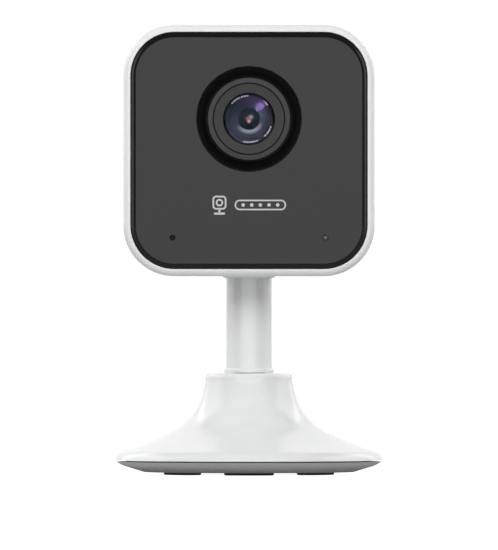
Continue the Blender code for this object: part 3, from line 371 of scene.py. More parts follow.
def joined(name, pieces):
    """Several closed meshes made one, for shapes that stay clear of each other."""
    points, polygons, start = [], [], 0
    for piece in pieces:
        mesh = piece.data
        flat = np.empty(len(mesh.vertices) * 3)
        mesh.vertices.foreach_get("co", flat)
        points.append(flat.reshape(-1, 3) / METRES_PER_MM)
        corners = np.empty(len(mesh.loops), np.int32)
        mesh.loops.foreach_get("vertex_index", corners)
        first_corner = np.empty(len(mesh.polygons), np.int32)
        mesh.polygons.foreach_get("loop_start", first_corner)
        polygons += [part.tolist() for part in np.split(corners + start, first_corner[1:])]
        start += len(mesh.vertices)
    whole = make_mesh(name, np.concatenate(points), polygons)
    for piece in pieces:
        bpy.data.objects.remove(piece, do_unlink=True)
    return whole


def combine(piece, other, operation="DIFFERENCE", crease=38):
    """Apply a Boolean at once and drop the other shape."""
    step = piece.modifiers.new(operation.lower(), "BOOLEAN")
    step.operation = operation
    step.solver = "EXACT"
    step.object = other
    shaped = piece.evaluated_get(bpy.context.evaluated_depsgraph_get())
    mesh = bpy.data.meshes.new_from_object(shaped)
    piece.modifiers.clear()
    piece.data = mesh
    mesh.shade_smooth()
    mesh.set_sharp_from_angle(angle=math.radians(crease))
    bpy.data.objects.remove(other, do_unlink=True)
    return piece


# %% [markdown]
# ## A piece's papers
#
# Each new piece is given its finish and attached to the body it moves with. Most pieces
# also take the place of a solid, which is hidden. One call does all three, and counts the faces.

# %% Fit a piece to the frame
pieces_made = []


def fit(piece, body, material, node, replaces=True):
    """Give a piece its material and its place in the assembly."""
    piece.data.materials.clear()
    piece.data.materials.append(material)
    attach(piece, body)
    if replaces:
        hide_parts(node)
    pieces_made.append(piece.name)
    print(f"{piece.name}: {len(piece.data.polygons)} faces on {body}")
    return piece

# %% [markdown]
# ## Effects that finishes share
#
# Moulded plastic, rubber and metal differ in colour and gloss, but they have things in common: a
# tone that drifts a little across the part, a fine grain, edges that rub bright, dust that settles
# on what faces up, and rings where a tool has turned the surface. Each of these is a node group
# that is built once. A group gives out colours, masks and heights only, and the shader itself
# stays in the material.

# %% Small tools for wiring nodes


def add(tree, kind, sockets=None, **settings):
    """A new node, with its settings made and its inputs set or linked."""
    made = tree.nodes.new("ShaderNode" + kind)
    for name, value in settings.items():
        setattr(made, name, value)
    for name, value in (sockets or {}).items():
        if isinstance(value, bpy.types.NodeSocket):
            tree.links.new(value, made.inputs[name])
        else:
            made.inputs[name].default_value = value
    return made


def arithmetic(tree, operation, first, second=0.0):
    """One sum, product, sine and so on, of values or outputs."""
    return add(tree, "Math", {0: first, 1: second}, operation=operation).outputs[0]


def spread(tree, value, low, high, start=0.0, stop=1.0):
    """Map a value from start..stop to low..high."""
    made = add(tree, "MapRange", {"Value": value, "From Min": start, "From Max": stop,
                                  "To Min": low, "To Max": high})
    return made.outputs["Result"]


def mixed(tree, share, first, second):
    """Two colours mixed by a share from 0 to 1. In a Mix node, inputs 6 and 7 are the colours."""
    return add(tree, "Mix", {0: share, 6: first, 7: second}, data_type="RGBA").outputs[2]


def effect(name, inputs, outputs):
    """An empty node group with named inputs and outputs."""
    group = bpy.data.node_groups.new(name, "ShaderNodeTree")
    for label, kind, value in inputs:
        socket = group.interface.new_socket(label, in_out="INPUT", socket_type="NodeSocket" + kind)
        if value is not None:
            socket.default_value = value
    for label, kind in outputs:
        group.interface.new_socket(label, in_out="OUTPUT", socket_type="NodeSocket" + kind)
    return group, group.nodes.new("NodeGroupInput").outputs, group.nodes.new("NodeGroupOutput").inputs


def place_effect(tree, group, sockets):
    """One of the shared effects, placed in a material."""
    return add(tree, "Group", sockets, node_tree=group).outputs


def surface_of(tree, shader, colour, roughness, height, relief, deep):
    """Give the shader its colour, its roughness, and a bump of one height."""
    bump = add(tree, "Bump", {"Height": height, "Strength": relief, "Distance": deep})
    tree.links.new(colour, shader.inputs["Base Color"])
    tree.links.new(roughness, shader.inputs["Roughness"])
    tree.links.new(bump.outputs["Normal"], shader.inputs["Normal"])


# %% [markdown]
# ### Moulded grain
#
# Resin never sets in one even tone. A slow noise, about as large as a thumb, moves the colour by
# a percent or two, and a fast noise of under half a millimetre makes the satin texture that the
# mould was etched with. The same fast noise varies the roughness, so highlights break up a little.

# %% Group: moulded_grain
DRIFT_SCALE = 38.0
DRIFT_SHARE = 0.75

grain_group, given, result = effect(
    "moulded_grain",
    [("Position", "Vector", None), ("Colour", "Color", None), ("Tone", "Float", 0.03),
     ("Grain", "Float", 2400.0), ("Roughness", "Float", 0.4), ("Spread", "Float", 0.05)],
    [("Colour", "Color"), ("Roughness", "Float"), ("Height", "Float")])
drift = add(grain_group, "TexNoise", {"Vector": given["Position"], "Scale": DRIFT_SCALE, "Detail": 3.0})
speck = add(grain_group, "TexNoise", {"Vector": given["Position"], "Scale": given["Grain"], "Detail": 2.0})
both = arithmetic(grain_group, "ADD", arithmetic(grain_group, "MULTIPLY", drift.outputs[0], DRIFT_SHARE),
                  arithmetic(grain_group, "MULTIPLY", speck.outputs[0], 1 - DRIFT_SHARE))
lighter = arithmetic(grain_group, "MULTIPLY", spread(grain_group, both, -1.0, 1.0, 0.3, 0.7), given["Tone"])
times = arithmetic(grain_group, "ADD", 1.0, lighter)
scaled = add(grain_group, "VectorMath", {0: given["Colour"], "Scale": times}, operation="SCALE")
rougher = arithmetic(grain_group, "MULTIPLY", spread(grain_group, both, -1.0, 1.0, 0.3, 0.7), given["Spread"])
grain_group.links.new(scaled.outputs[0], result["Colour"])
grain_group.links.new(arithmetic(grain_group, "ADD", given["Roughness"], rougher), result["Roughness"])
grain_group.links.new(speck.outputs[0], result["Height"])

# %% [markdown]
# ### Edges that rub
#
# Handling polishes the rounds of a part before anything else. The surfaces carry an attribute
# called edge that is one on their small arcs. Noise breaks it up, because wear is never even.

# %% Group: rubbed_edge
PATCH_SCALE = 260.0

rub_group, given, result = effect(
    "rubbed_edge", [("Position", "Vector", None), ("Amount", "Float", 0.3)], [("Mask", "Float")])
edge_place = add(rub_group, "Attribute", attribute_name="edge")
patch = add(rub_group, "TexNoise", {"Vector": given["Position"], "Scale": PATCH_SCALE, "Detail": 4.0})
broken = spread(rub_group, patch.outputs[0], 0, 1, 0.42, 0.66)
worn = arithmetic(rub_group, "MULTIPLY", edge_place.outputs["Fac"], broken)
rub_group.links.new(arithmetic(rub_group, "MULTIPLY", worn, given["Amount"]), result["Mask"])

# %% [markdown]
# ### Dust that settles
#
# Dust lies only where a surface faces up, in loose specks rather than as a film. The object's own
# normal gives the facing, so the dust stays on the part when the part turns.

# %% Group: settled_dust
FLECK_SCALE = 1500.0

dust_group, given, result = effect(
    "settled_dust", [("Position", "Vector", None), ("Facing", "Vector", None), ("Amount", "Float", 0.1)],
    [("Mask", "Float")])
upward = add(dust_group, "SeparateXYZ", {0: given["Facing"]}).outputs["Z"]
flecks = add(dust_group, "TexNoise", {"Vector": given["Position"], "Scale": FLECK_SCALE, "Detail": 3.0})
loose = spread(dust_group, flecks.outputs[0], 0, 1, 0.56, 0.72)
lying = arithmetic(dust_group, "MULTIPLY", loose, spread(dust_group, upward, 0, 1, 0.45, 0.95))
dust_group.links.new(arithmetic(dust_group, "MULTIPLY", lying, given["Amount"]), result["Mask"])

# %% [markdown]
# ### Rings from turning
#
# A lathe leaves a very fine spiral. Seen from the front it is rings round the axis: the distance
# from the axis, times a pitch, through a sine. Which two coordinates count is given as a mask, so
# the same group serves the lens, which looks along y, and the screws, which stand along z.

# %% Group: turned_rings
ring_group, given, result = effect(
    "turned_rings",
    [("Position", "Vector", None), ("Centre", "Vector", None), ("Across", "Vector", (1.0, 0.0, 1.0)),
     ("Pitch", "Float", 0.00022)],
    [("Distance", "Float"), ("Height", "Float")])
away = add(ring_group, "VectorMath", {0: given["Position"], 1: given["Centre"]}, operation="SUBTRACT")
flat_away = add(ring_group, "VectorMath", {0: away.outputs[0], 1: given["Across"]}, operation="MULTIPLY")
distance = add(ring_group, "VectorMath", {0: flat_away.outputs[0]}, operation="LENGTH").outputs["Value"]
turns = arithmetic(ring_group, "DIVIDE", distance, given["Pitch"])
wave = arithmetic(ring_group, "SINE", arithmetic(ring_group, "MULTIPLY", turns, math.tau))
ring_group.links.new(distance, result["Distance"])
ring_group.links.new(spread(ring_group, wave, 0, 1, -1, 1), result["Height"])
print("effects:", sorted(group.name for group in bpy.data.node_groups))

# %% [markdown]
# ## Finishes
#
# Every finish starts the same way: position, grain, rub and dust, then a bump from the grain. The
# numbers that are the same all over a part, such as its coat or its index of refraction, are set
# straight on the shader.

# %% A finish from the shared effects
DUST_COLOUR = (0.60, 0.58, 0.55, 1)
GRAIN_DEEP = 0.03 * METRES_PER_MM
RUB_POLISH = 0.15


def start_material(name):
    """A new material with its tree, shader, object position and object normal."""
    material = bpy.data.materials.new(name)
    material.use_nodes = True
    tree = material.node_tree
    place = add(tree, "TexCoord")
    return material, tree, tree.nodes["Principled BSDF"], place.outputs["Object"], place.outputs["Normal"]


def set_plain(shader, constants):
    """Set a shader's own constants, such as IOR or Coat_Weight."""
    for name, value in constants.items():
        shader.inputs[name.replace("_", " ")].default_value = value


def finish(name, colour, roughness, tone=0.03, grain=2400.0, relief=0.15, uneven=0.04, rub=0.0,
           rub_colour=(0.9, 0.9, 0.9, 1), dust=0.0, rings=None, second=None, **constants):
    """A procedural finish. rings is (centre, across, pitch), and second is (colour, mask maker)."""
    material, tree, shader, position, facing = start_material(name)
    if second:
        other, mask = second
        colour = mixed(tree, mask(tree, position), colour, other)
    base = place_effect(tree, grain_group, {"Position": position, "Colour": colour, "Tone": tone,
                                            "Grain": grain, "Roughness": roughness, "Spread": uneven})
    shade, rough, height = base["Colour"], base["Roughness"], base["Height"]
    if rub:
        mask = place_effect(tree, rub_group, {"Position": position, "Amount": rub})["Mask"]
        shade = mixed(tree, mask, shade, rub_colour)
        rough = arithmetic(tree, "SUBTRACT", rough, arithmetic(tree, "MULTIPLY", mask, RUB_POLISH))
    if dust:
        mask = place_effect(tree, dust_group, {"Position": position, "Facing": facing,
                                               "Amount": dust})["Mask"]
        shade = mixed(tree, mask, shade, DUST_COLOUR)
        rough = arithmetic(tree, "ADD", rough, mask)
    if rings:
        centre, across, pitch = rings
        turned = place_effect(tree, ring_group, {"Position": position, "Centre": centre, "Across": across,
                                                 "Pitch": pitch})
        height = arithmetic(tree, "ADD", arithmetic(tree, "MULTIPLY", height, 0.4), turned["Height"])
    surface_of(tree, shader, shade, rough, height, relief, GRAIN_DEEP)
    set_plain(shader, constants)
    return material


LENS_CENTRE = (0.0, 0.0, LENS_HEIGHT * METRES_PER_MM)
ACROSS_LENS = (1.0, 0.0, 1.0)
ACROSS_UPRIGHT = (1.0, 1.0, 0.0)


def white_finish(name, colour=(0.83, 0.835, 0.84, 1), **changes):
    """The satin white of the housing: a soft base under a thin clear gloss."""
    values = dict(roughness=0.32, tone=0.012, relief=0.10, rub=0.25, rub_colour=(0.93, 0.93, 0.93, 1),
                  dust=0.10, Coat_Weight=1.0, Coat_Roughness=0.16, Coat_IOR=1.5, IOR=1.5)
    values.update(changes)
    return finish(name, colour, **values)


# %% The housing's finishes
head_white = white_finish("satin_white_head")
base_white = white_finish("satin_white_base")
post_white = white_finish("satin_white_post", dust=0.0)
button_white = white_finish("satin_white_button", colour=(0.74, 0.745, 0.75, 1))
dish_grey = finish("matt_grey_dish", (0.64, 0.643, 0.655, 1), 0.5, tone=0.05, grain=1700.0, relief=0.35,
                   rub=0.2, rub_colour=(0.70, 0.70, 0.71, 1), IOR=1.48)
foot_rubber = finish("foot_rubber", (0.060, 0.060, 0.063, 1), 0.75, tone=0.15, grain=1300.0, relief=0.6,
                     rub=0.35, rub_colour=(0.12, 0.12, 0.12, 1), IOR=1.45)
washer_rubber = finish("washer_rubber", (0.03, 0.03, 0.032, 1), 0.7, tone=0.12, relief=0.5)
screw_steel = finish("bright_screw_steel", (0.55, 0.56, 0.58, 1), 0.32, tone=0.08, uneven=0.08, relief=0.3,
                     rub=0.3, Metallic=1.0)
nickel = finish("nickel_plate", (0.62, 0.60, 0.57, 1), 0.25, tone=0.05, uneven=0.07, relief=0.2, Metallic=1.0)
rolled_steel = finish("rolled_steel", (0.50, 0.51, 0.52, 1), 0.42, tone=0.10, uneven=0.10, relief=0.4,
                      rings=((0, 0, 0), ACROSS_UPRIGHT, 0.0005), Metallic=1.0)
black_plastic = finish("black_plastic", (0.018, 0.018, 0.020, 1), 0.5, tone=0.12, relief=0.35)

# %% [markdown]
# ## The dark front
#
# The front panel is smoked acrylic: it looks black and glossy round its stepped rim and a flat dark
# grey on its face, where the printed backing behind it shows. The edge attribute tells the two
# apart, because the panel's surface marks its whole rim as edge.

# %% Panel, bezel and barrel finishes


def rim_mask(tree, position):
    """One on the panel's rim, from the edge attribute."""
    place = add(tree, "Attribute", attribute_name="edge")
    return spread(tree, place.outputs["Fac"], 0, 1, 0.0, 0.25)


smoke_panel = finish("smoked_acrylic", (0.013, 0.013, 0.0135, 1), 0.12, tone=0.05, grain=900.0, relief=0.02,
                     uneven=0.03, second=((0.004, 0.004, 0.005, 1), rim_mask), dust=0.03, IOR=1.41)
bezel_black = finish("bezel_gloss_black", (0.0035, 0.0035, 0.004, 1), 0.22, tone=0.10, relief=0.05,
                     rings=(LENS_CENTRE, ACROSS_LENS, 0.00025), IOR=1.38)
barrel_grey = finish("barrel_satin_grey", (0.044, 0.044, 0.045, 1), 0.5, tone=0.06, relief=0.25, rub=0.3,
                     rub_colour=(0.10, 0.10, 0.10, 1), rings=(LENS_CENTRE, ACROSS_LENS, 0.00021), IOR=1.45)
ring_grey = finish("ring_satin_grey", (0.036, 0.036, 0.037, 1), 0.5, tone=0.06, relief=0.25, rub=0.25,
                   rub_colour=(0.09, 0.09, 0.09, 1), rings=(LENS_CENTRE, ACROSS_LENS, 0.00021), IOR=1.45)
printed_grey = finish("printed_light_grey", (0.60, 0.60, 0.61, 1), 0.55, tone=0.06, grain=4200.0, relief=0.2)
engraved_white = finish("engraved_white", (0.80, 0.81, 0.84, 1), 0.5, tone=0.25, grain=3500.0, relief=0.2)
clear_plastic = finish("clear_light_pipe", (0.10, 0.10, 0.105, 1), 0.25, tone=0.10, relief=0.1, IOR=1.5)
print("finishes:", len(bpy.data.materials))

# %% [markdown]
# ## The base
#
# The base is a trumpet: a short turret, a long concave flare, and a rim that rolls under. One
# profile gives the whole moulding, outside and inside. The flare is a cubic Bezier curve, which
# leaves the turret almost upright and meets the rim's arc at its own slope. The inside is the same
# curve moved in by the wall's thickness along its normals.

# %% The trumpet's curve
TURRET_RADIUS = 10.35
TURRET_STRAIGHT = 1.85
TURRET_ROUND = 1.0
TURRET_ROOF = 2.5
BORE_RADIUS = 3.68
SHELL_WALL = 1.7
RIM_ROUND = 2.86
RIM_CENTRE = np.array([29.14, 2.92])
RIM_SLOPE = math.radians(17.6)
RIM_FOOT = 3.4
TURRET_PULL = np.array([1.30, -8.27])
RIM_PULL = np.array([-15.47, 4.92])
FLARE_STEPS = 44


def bezier(p0, p1, p2, p3, steps):
    """The cubic curve and its outward normals: the points weighted by (1-t)^3, 3(1-t)^2 t, and so on."""
    t = np.linspace(0, 1, steps + 1)[:, None]
    u = 1 - t
    points = u**3 * p0 + 3 * u * u * t * p1 + 3 * u * t * t * p2 + t**3 * p3
    pull = u * u * (p1 - p0) + 2 * u * t * (p2 - p1) + t * t * (p3 - p2)
    normal = np.stack([-pull[:, 1], pull[:, 0]], axis=1)
    return points, normal / np.linalg.norm(normal, axis=1, keepdims=True)


def arc_points(centre, radius, start, stop, steps):
    """centre + radius (cos a, sin a), for angles from start to stop."""
    angle = np.linspace(start, stop, steps + 1)
    return np.stack([centre[0] + radius * np.cos(angle), centre[1] + radius * np.sin(angle)], axis=1)


flare_top = np.array([TURRET_RADIUS, TURRET_TOP - TURRET_STRAIGHT])
flare_end = RIM_CENTRE + RIM_ROUND * np.array([math.sin(RIM_SLOPE), math.cos(RIM_SLOPE)])
flare, flare_out = bezier(flare_top, flare_top + TURRET_PULL, flare_end + RIM_PULL, flare_end, FLARE_STEPS)
rim_stop = math.asin((RIM_FOOT - RIM_CENTRE[1]) / RIM_ROUND)
rim = arc_points(RIM_CENTRE, RIM_ROUND, math.pi / 2 - RIM_SLOPE, rim_stop, 12)[1:]
print(f"flare ends at r {flare_end[0]:.2f}, z {flare_end[1]:.2f}; widest r {rim[:, 0].max():.2f}")

# %% The base moulding
turret, turret_edge = soft_profile([(BORE_RADIUS, TURRET_TOP - 1, 0), (BORE_RADIUS, TURRET_TOP, 0.15),
                                    (TURRET_RADIUS, TURRET_TOP, TURRET_ROUND),
                                    (TURRET_RADIUS, TURRET_TOP - TURRET_STRAIGHT, 0)])
lining = flare - SHELL_WALL * flare_out
mouth = BASE_RADIUS - SHELL_WALL
lining = lining[(lining[:, 0] < mouth) & (lining[:, 1] < TURRET_TOP - TURRET_ROOF)]
inside = np.concatenate([[(mouth, RIM_FOOT), (mouth, lining[-1, 1])], lining[::-1],
                         [(TURRET_RADIUS - SHELL_WALL, TURRET_TOP - TURRET_ROOF),
                          (BORE_RADIUS, TURRET_TOP - TURRET_ROOF)]])
base_profile = np.concatenate([turret[:-1], flare, rim, inside])
base_edge = np.concatenate([turret_edge[:-1], np.zeros(len(flare) + len(rim) + len(inside))])
base_edge[len(turret_edge) - 1 + len(flare):][:len(rim)] = np.linspace(0, 1, len(rim))
base_moulding = skin("base_moulding", about_upright(base_profile), closed_rows=True, edge=base_edge)
fit(base_moulding, "base", base_white, "base_shell")

# %% [markdown]
# ## The dish under the base
#
# The grey dish closes the base from below. Its side curves in under the rim, so that the camera
# seems to float on a shadow. The feet sit in pockets and the screws in counterbores, which are cut
# into the turned surface.

# %% The dish
PLATE_TOP = 2.6
plate_bottom = plate_low[2]
SPIGOT_INNER, SPIGOT_OUTER, SPIGOT_TOP = 27.9, 29.1, 3.6
SEAM_HEIGHT = 3.1
dish_corners = [(0, PLATE_TOP, 0), (SPIGOT_INNER, PLATE_TOP, 0), (SPIGOT_INNER, SPIGOT_TOP, 0.2),
                (SPIGOT_OUTER, SPIGOT_TOP, 0.2), (SPIGOT_OUTER, SEAM_HEIGHT, 0),
                (31.68, SEAM_HEIGHT, 0.06), (30.0, 2.16, 4.0), (26.4, 1.05, 4.0),
                (24.9, plate_bottom, 1.2), (0, plate_bottom, 0)]
base_dish = turned_piece("base_dish", dish_corners)

FEET = 6
BASE_SCREWS = 3
FOOT_INNER = 16.1
FOOT_OUTER = 21.0
FOOT_HALF_ANGLE = math.radians(17)
FOOT_HEIGHT = 1.2
FOOT_CORNER = 0.9
POCKET_GAP = 0.15
POCKET_CORNER = 1.05
POCKET_TOP = 1.5
SCREW_CIRCLE = 12.0
COUNTERBORE = 2.2
COUNTERBORE_DEEP = 1.2


def foot_outline(index, grow, corner=FOOT_CORNER, steps=24):
    """An arc-shaped pad with round corners, on the foot circle, larger all round by grow.

    The rounded rectangle is drawn flat, as length along the circle and distance across it, and then
    bent: its length becomes an angle and its width a radius.
    """
    middle_radius = (FOOT_INNER + FOOT_OUTER) / 2
    length = 2 * FOOT_HALF_ANGLE * middle_radius + 2 * grow
    width = FOOT_OUTER - FOOT_INNER + 2 * grow
    flat = rounded_box(length, width, corner)
    ahead = np.roll(flat, -1, axis=0) - flat
    share = np.linspace(0, 1, steps, endpoint=False)[:, None, None]
    wanted = (np.linalg.norm(ahead, axis=1) > 1) | (share[..., 0] == 0)
    dense = (flat + ahead * share).swapaxes(0, 1)[wanted.T]
    angle = -math.pi / 2 + index * math.tau / FEET + dense[:, 0] / middle_radius
    radius = middle_radius + dense[:, 1]
    return np.stack([radius * np.cos(angle), radius * np.sin(angle)], axis=1)


def screw_spot(index):
    """Where a base screw stands: a third of a turn apart on one circle."""
    angle = math.pi / 2 + index * math.tau / BASE_SCREWS
    return SCREW_CIRCLE * math.cos(angle), SCREW_CIRCLE * math.sin(angle)


sinks = [prism(f"sink_{i}", foot_outline(i, POCKET_GAP, POCKET_CORNER), -1, POCKET_TOP, "z")
         for i in range(FEET)]
sinks += [prism(f"bore_{i}", circle(COUNTERBORE, screw_spot(i), 48), -1,
                plate_bottom + COUNTERBORE_DEEP, "z") for i in range(BASE_SCREWS)]
combine(base_dish, joined("dish_sinks", sinks))
fit(base_dish, "base", dish_grey, "base_plate")

# %% [markdown]
# ## Feet and screws
#
# A rubber foot is its outline stacked: first a little smaller, then full size through the round of
# its lower edge, then straight up. A screw head is a height worked out over a disc: a shallow dome,
# minus a cross whose arms fade out towards the rim.

# %% Rubber feet
FOOT_ROUND = 0.35


def stacked(name, outline_at, heights, insets):
    """Rows of one outline at several insets and heights, closed to a pole at both ends."""
    rows = [np.insert(outline_at(inset), 2, height, axis=1) for height, inset in zip(heights, insets)]
    middle = rows[0][:, :2].mean(axis=0)
    lowest = np.full_like(rows[0], (*middle, heights[0]))
    highest = np.full_like(rows[0], (*middle, heights[-1]))
    edge = np.concatenate([[0, 0], np.ones(len(rows) - 2), [0, 0]])
    return skin(name, np.stack([lowest, *rows, highest]), edge=edge)


foot_turn = np.linspace(0, math.pi / 2, 6)
foot_heights = np.concatenate([FOOT_ROUND * (1 - np.cos(foot_turn)), [FOOT_HEIGHT]])
foot_insets = np.concatenate([FOOT_ROUND * (1 - np.sin(foot_turn)), [0]])
for index in range(FEET):
    foot = stacked(f"foot_pad_{index + 1}", lambda inset, i=index: foot_outline(i, -inset),
                   foot_heights, foot_insets)
    fit(foot, "base", foot_rubber, f"rubber_foot_{index + 1}")

# %% Screw heads with a cross recess
SCREW_RADIUS = 1.9
SCREW_SEAT = 0.9
SCREW_THICK = 0.62
DOME_FALL = 0.18
CROSS_HALF_WIDTH = 0.24
CROSS_REACH = 1.15
CROSS_DEPTH = 0.55
SIDE_SOFT, TIP_SOFT = 0.12, 0.15


def step_down(value, limit, soft):
    """One below the limit and zero above it, with a soft shoulder between."""
    return np.clip((limit - value) / soft + 0.5, 0, 1)


def screw_head(name, centre, turn=0.0):
    """Depth over the disc: (r / R)^4 makes a low dome, and a cross-shaped recess ends before the rim."""
    radius, angle = np.meshgrid(np.concatenate([np.linspace(0, 1.45, 30), [1.65, 1.8, 1.87, 1.9, 1.9]]),
                                np.arange(144) * math.tau / 144, indexing="ij")
    x = radius * np.cos(angle)
    y = radius * np.sin(angle)
    wide_x, wide_y = (step_down(np.abs(side), CROSS_HALF_WIDTH, SIDE_SOFT) for side in (x, y))
    long_x, long_y = (step_down(np.abs(side), CROSS_REACH, TIP_SOFT) for side in (x, y))
    cross = np.maximum(wide_y * long_x, wide_x * long_y)
    depth = CROSS_DEPTH * cross + DOME_FALL * (radius / SCREW_RADIUS) ** 4
    depth[-1] = SCREW_THICK
    cosine, sine = math.cos(turn), math.sin(turn)
    grid = np.stack([centre[0] + x * cosine - y * sine, centre[1] + x * sine + y * cosine,
                     SCREW_SEAT + depth], axis=-1)
    back = grid[-1:].copy()
    back[..., 0] = centre[0]
    back[..., 1] = centre[1]
    return skin(name, np.concatenate([grid, back]), crease=50)


for index in range(BASE_SCREWS):
    head = screw_head(f"base_screw_head_{index + 1}", screw_spot(index), 0.4 + 1.1 * index)
    fit(head, "base", screw_steel, f"base_screw_{index + 1}")

# %% [markdown]
# ## The post
#
# The post is turned too: a collar that turns on the turret, a straight column, and a round knuckle
# at the top that the head is pinned to. The knuckle's sides are flat, so that washers can bear on
# them. In the grid that is one clip of the x coordinate above the shoulder.

# %% The post
POST_RADIUS = 5.435
KNUCKLE_HALF = 4.485
SHOULDER_HEIGHT = PIVOT_HEIGHT - 0.6 * POST_RADIUS
COLLAR_RADIUS = 5.935
COLLAR_TOP = TURRET_TOP + 1.05
COLLAR_FOOT = TURRET_TOP + 0.12
SPIGOT_RADIUS = 3.6
SPIGOT_END = stem_low[2]
PIN_HOLE = 1.08
PIN_WAY_POST, PIN_WAY_HEAD = 9, 9.5

knuckle = arc_points((0, PIVOT_HEIGHT), POST_RADIUS, math.pi / 2, 0, 20)
column = [(POST_RADIUS, SHOULDER_HEIGHT + 0.02, 0), (POST_RADIUS, SHOULDER_HEIGHT, 0),
          (POST_RADIUS, COLLAR_TOP, 0.12), (COLLAR_RADIUS, COLLAR_TOP, 0.25),
          (COLLAR_RADIUS, COLLAR_FOOT, 0.08), (SPIGOT_RADIUS, COLLAR_FOOT, 0),
          (SPIGOT_RADIUS, SPIGOT_END, 0.3), (0, SPIGOT_END, 0)]
lower, lower_edge = soft_profile(column)
post_profile = np.concatenate([knuckle, lower])
post_edge = np.concatenate([np.zeros(len(knuckle)), lower_edge])
post_grid = about_upright(post_profile)
across = post_grid[..., 0]
above = post_grid[..., 2] > SHOULDER_HEIGHT + 0.01
post_grid[..., 0] = np.where(above, np.clip(across, -KNUCKLE_HALF, KNUCKLE_HALF), across)
post = skin("post_column", post_grid, edge=post_edge)
pin_outline = circle(PIN_HOLE, (0, PIVOT_HEIGHT), 40)
combine(post, prism("pin_way", pin_outline, -PIN_WAY_POST, PIN_WAY_POST, "x"))
fit(post, "stem", post_white, "stem")

# %% [markdown]
# ## The head's shell
#
# The shell is a cup with a closed rear: every row of its grid is a rounded square at some depth.
# The rows run from the front lip over the outside, round the rear edge to a pole in the middle of
# the rear, and then the same way back along the inside. Moving an outline in by some inset makes
# its half size and its corner radius smaller by that inset, which keeps the wall even. A fine
# groove shows where the front ring and the rear cover of the real moulding part.

# %% The cup
HEAD_CORNER = 12.1
HEAD_WALL = 1.7
HEAD_FRONT = head_low[1]
HEAD_REAR = head_high[1]
FRONT_ROUND = 1.45
LIP_ROUND = 0.18
REAR_ROUND = 5.0
GROOVE_DEPTH = 0.10
GROOVE_HALF = 0.07
GROOVE_Y = HEAD_FRONT + 6.5

outer_corners = [
    (HEAD_WALL, HEAD_REAR - 2 * REAR_ROUND, 0), (HEAD_WALL, HEAD_FRONT, LIP_ROUND),
    (0, HEAD_FRONT, FRONT_ROUND), (0, GROOVE_Y - GROOVE_HALF, 0.04),
    (GROOVE_DEPTH, GROOVE_Y, 0.03), (0, GROOVE_Y + GROOVE_HALF, 0.04),
    (0, HEAD_REAR, REAR_ROUND), (REAR_ROUND + 3, HEAD_REAR, 0)]
inner_corners = [
    (REAR_ROUND + 3, HEAD_REAR - HEAD_WALL, 0), (HEAD_WALL, HEAD_REAR - HEAD_WALL, REAR_ROUND - HEAD_WALL),
    (HEAD_WALL, HEAD_REAR - 2 * REAR_ROUND, 0)]
outer, outer_edge = soft_profile(outer_corners, steps=8)
inner, _ = soft_profile(inner_corners, steps=8)
SHRINK = np.linspace(0.85, 0, 8)


def cup_rows(profile, towards_pole):
    """Half size, corner and depth of each row, then the last row shrunk to the middle."""
    inset = profile[:, 0]
    half, corner, depth = HEAD_HALF - inset, HEAD_CORNER - inset, profile[:, 1]
    if not towards_pole:
        return half, corner, depth
    return (np.append(half, half[-1] * SHRINK), np.append(corner, corner[-1] * SHRINK),
            np.append(depth, np.full(SHRINK.size, depth[-1])))


outside_rows = cup_rows(outer, True)
inside_rows = [row[::-1] for row in cup_rows(inner[::-1], True)]
cup = [np.concatenate(pair) for pair in zip(outside_rows, inside_rows)]
cup_edge = np.concatenate([outer_edge, np.zeros(cup[0].size - outer_edge.size)])
cup_edge[outer[:, 1].argmax():] = 0
last_inner = cup[0].size - 1
shell_grid = square_grid(cup[0][:last_inner], cup[1][:last_inner], cup[2][:last_inner])
head_moulding = skin("head_moulding", shell_grid, closed_rows=True, edge=cup_edge[:last_inner])
print("cup:", shell_grid.shape)

# %% [markdown]
# ## The slot that the post swings in
#
# When the head tilts up, the post swings out through the rear of the head, so a slot runs from
# under the head to its rear. Seen from the side it is round at the hinge, slants forwards in front
# for tilting down, and is open below and behind. Its walls are this outline grown by their
# thickness, joined to the cup, and then the outline itself is cut out of both.

# %% The slot, its walls and its lip
POCKET_RADIUS = 5.935
POCKET_WALL = 1.5
SLOT_STEPS = 24
POCKET_HALF = 5.935
TILT_DOWN = math.radians(30)
LIP_DROP = 0.4
LIP_WIDTH = 0.5
LIP_TAPER = 0.42


def slot_outline(grow, rear, low, rear_round=0.0):
    """Side view of the slot: an arc over the hinge, a slanted front, and an open rear."""
    radius = POCKET_RADIUS + grow
    top = arc_points((0, PIVOT_HEIGHT), radius, math.pi / 2, math.pi - TILT_DOWN, SLOT_STEPS)
    run = (top[-1, 1] - low) / math.cos(TILT_DOWN)
    foot = top[-1, 0] - run * math.sin(TILT_DOWN)
    corner, _ = soft_profile([(foot, low, 0), (rear, low, rear_round), (rear, PIVOT_HEIGHT + radius, 0)])
    return np.concatenate([top, corner])


head_bottom = HEAD_MIDDLE - HEAD_HALF
sunk = HEAD_WALL / 2
walls = slot_outline(POCKET_WALL, HEAD_REAR - sunk, head_bottom + sunk, REAR_ROUND - sunk)
walls_half = POCKET_HALF + POCKET_WALL
combine(head_moulding, prism("slot_walls", walls, -walls_half, walls_half, "x"), "UNION")
lip_low = head_bottom - LIP_DROP
lip_front = slot_outline(0, 0, lip_low)[SLOT_STEPS + 1, 0] - LIP_WIDTH
lip_rear = HEAD_REAR - REAR_ROUND
lip_length = lip_rear - lip_front
lip_middle = (lip_rear + lip_front) / 2


def lip_row(inset, height):
    """The lip's outline, moved in by the inset, at one height."""
    outline = rounded_box(2 * (POCKET_HALF + LIP_WIDTH - inset), lip_length - 2 * inset, 0.6, (0, lip_middle))
    return np.column_stack([outline, np.full(len(outline), height)])


def lip_pole(height):
    """The lip's row shrunk to its middle, which closes the surface there."""
    return lip_row(0, height) * [0, 0, 1] + [0, lip_middle, 0]


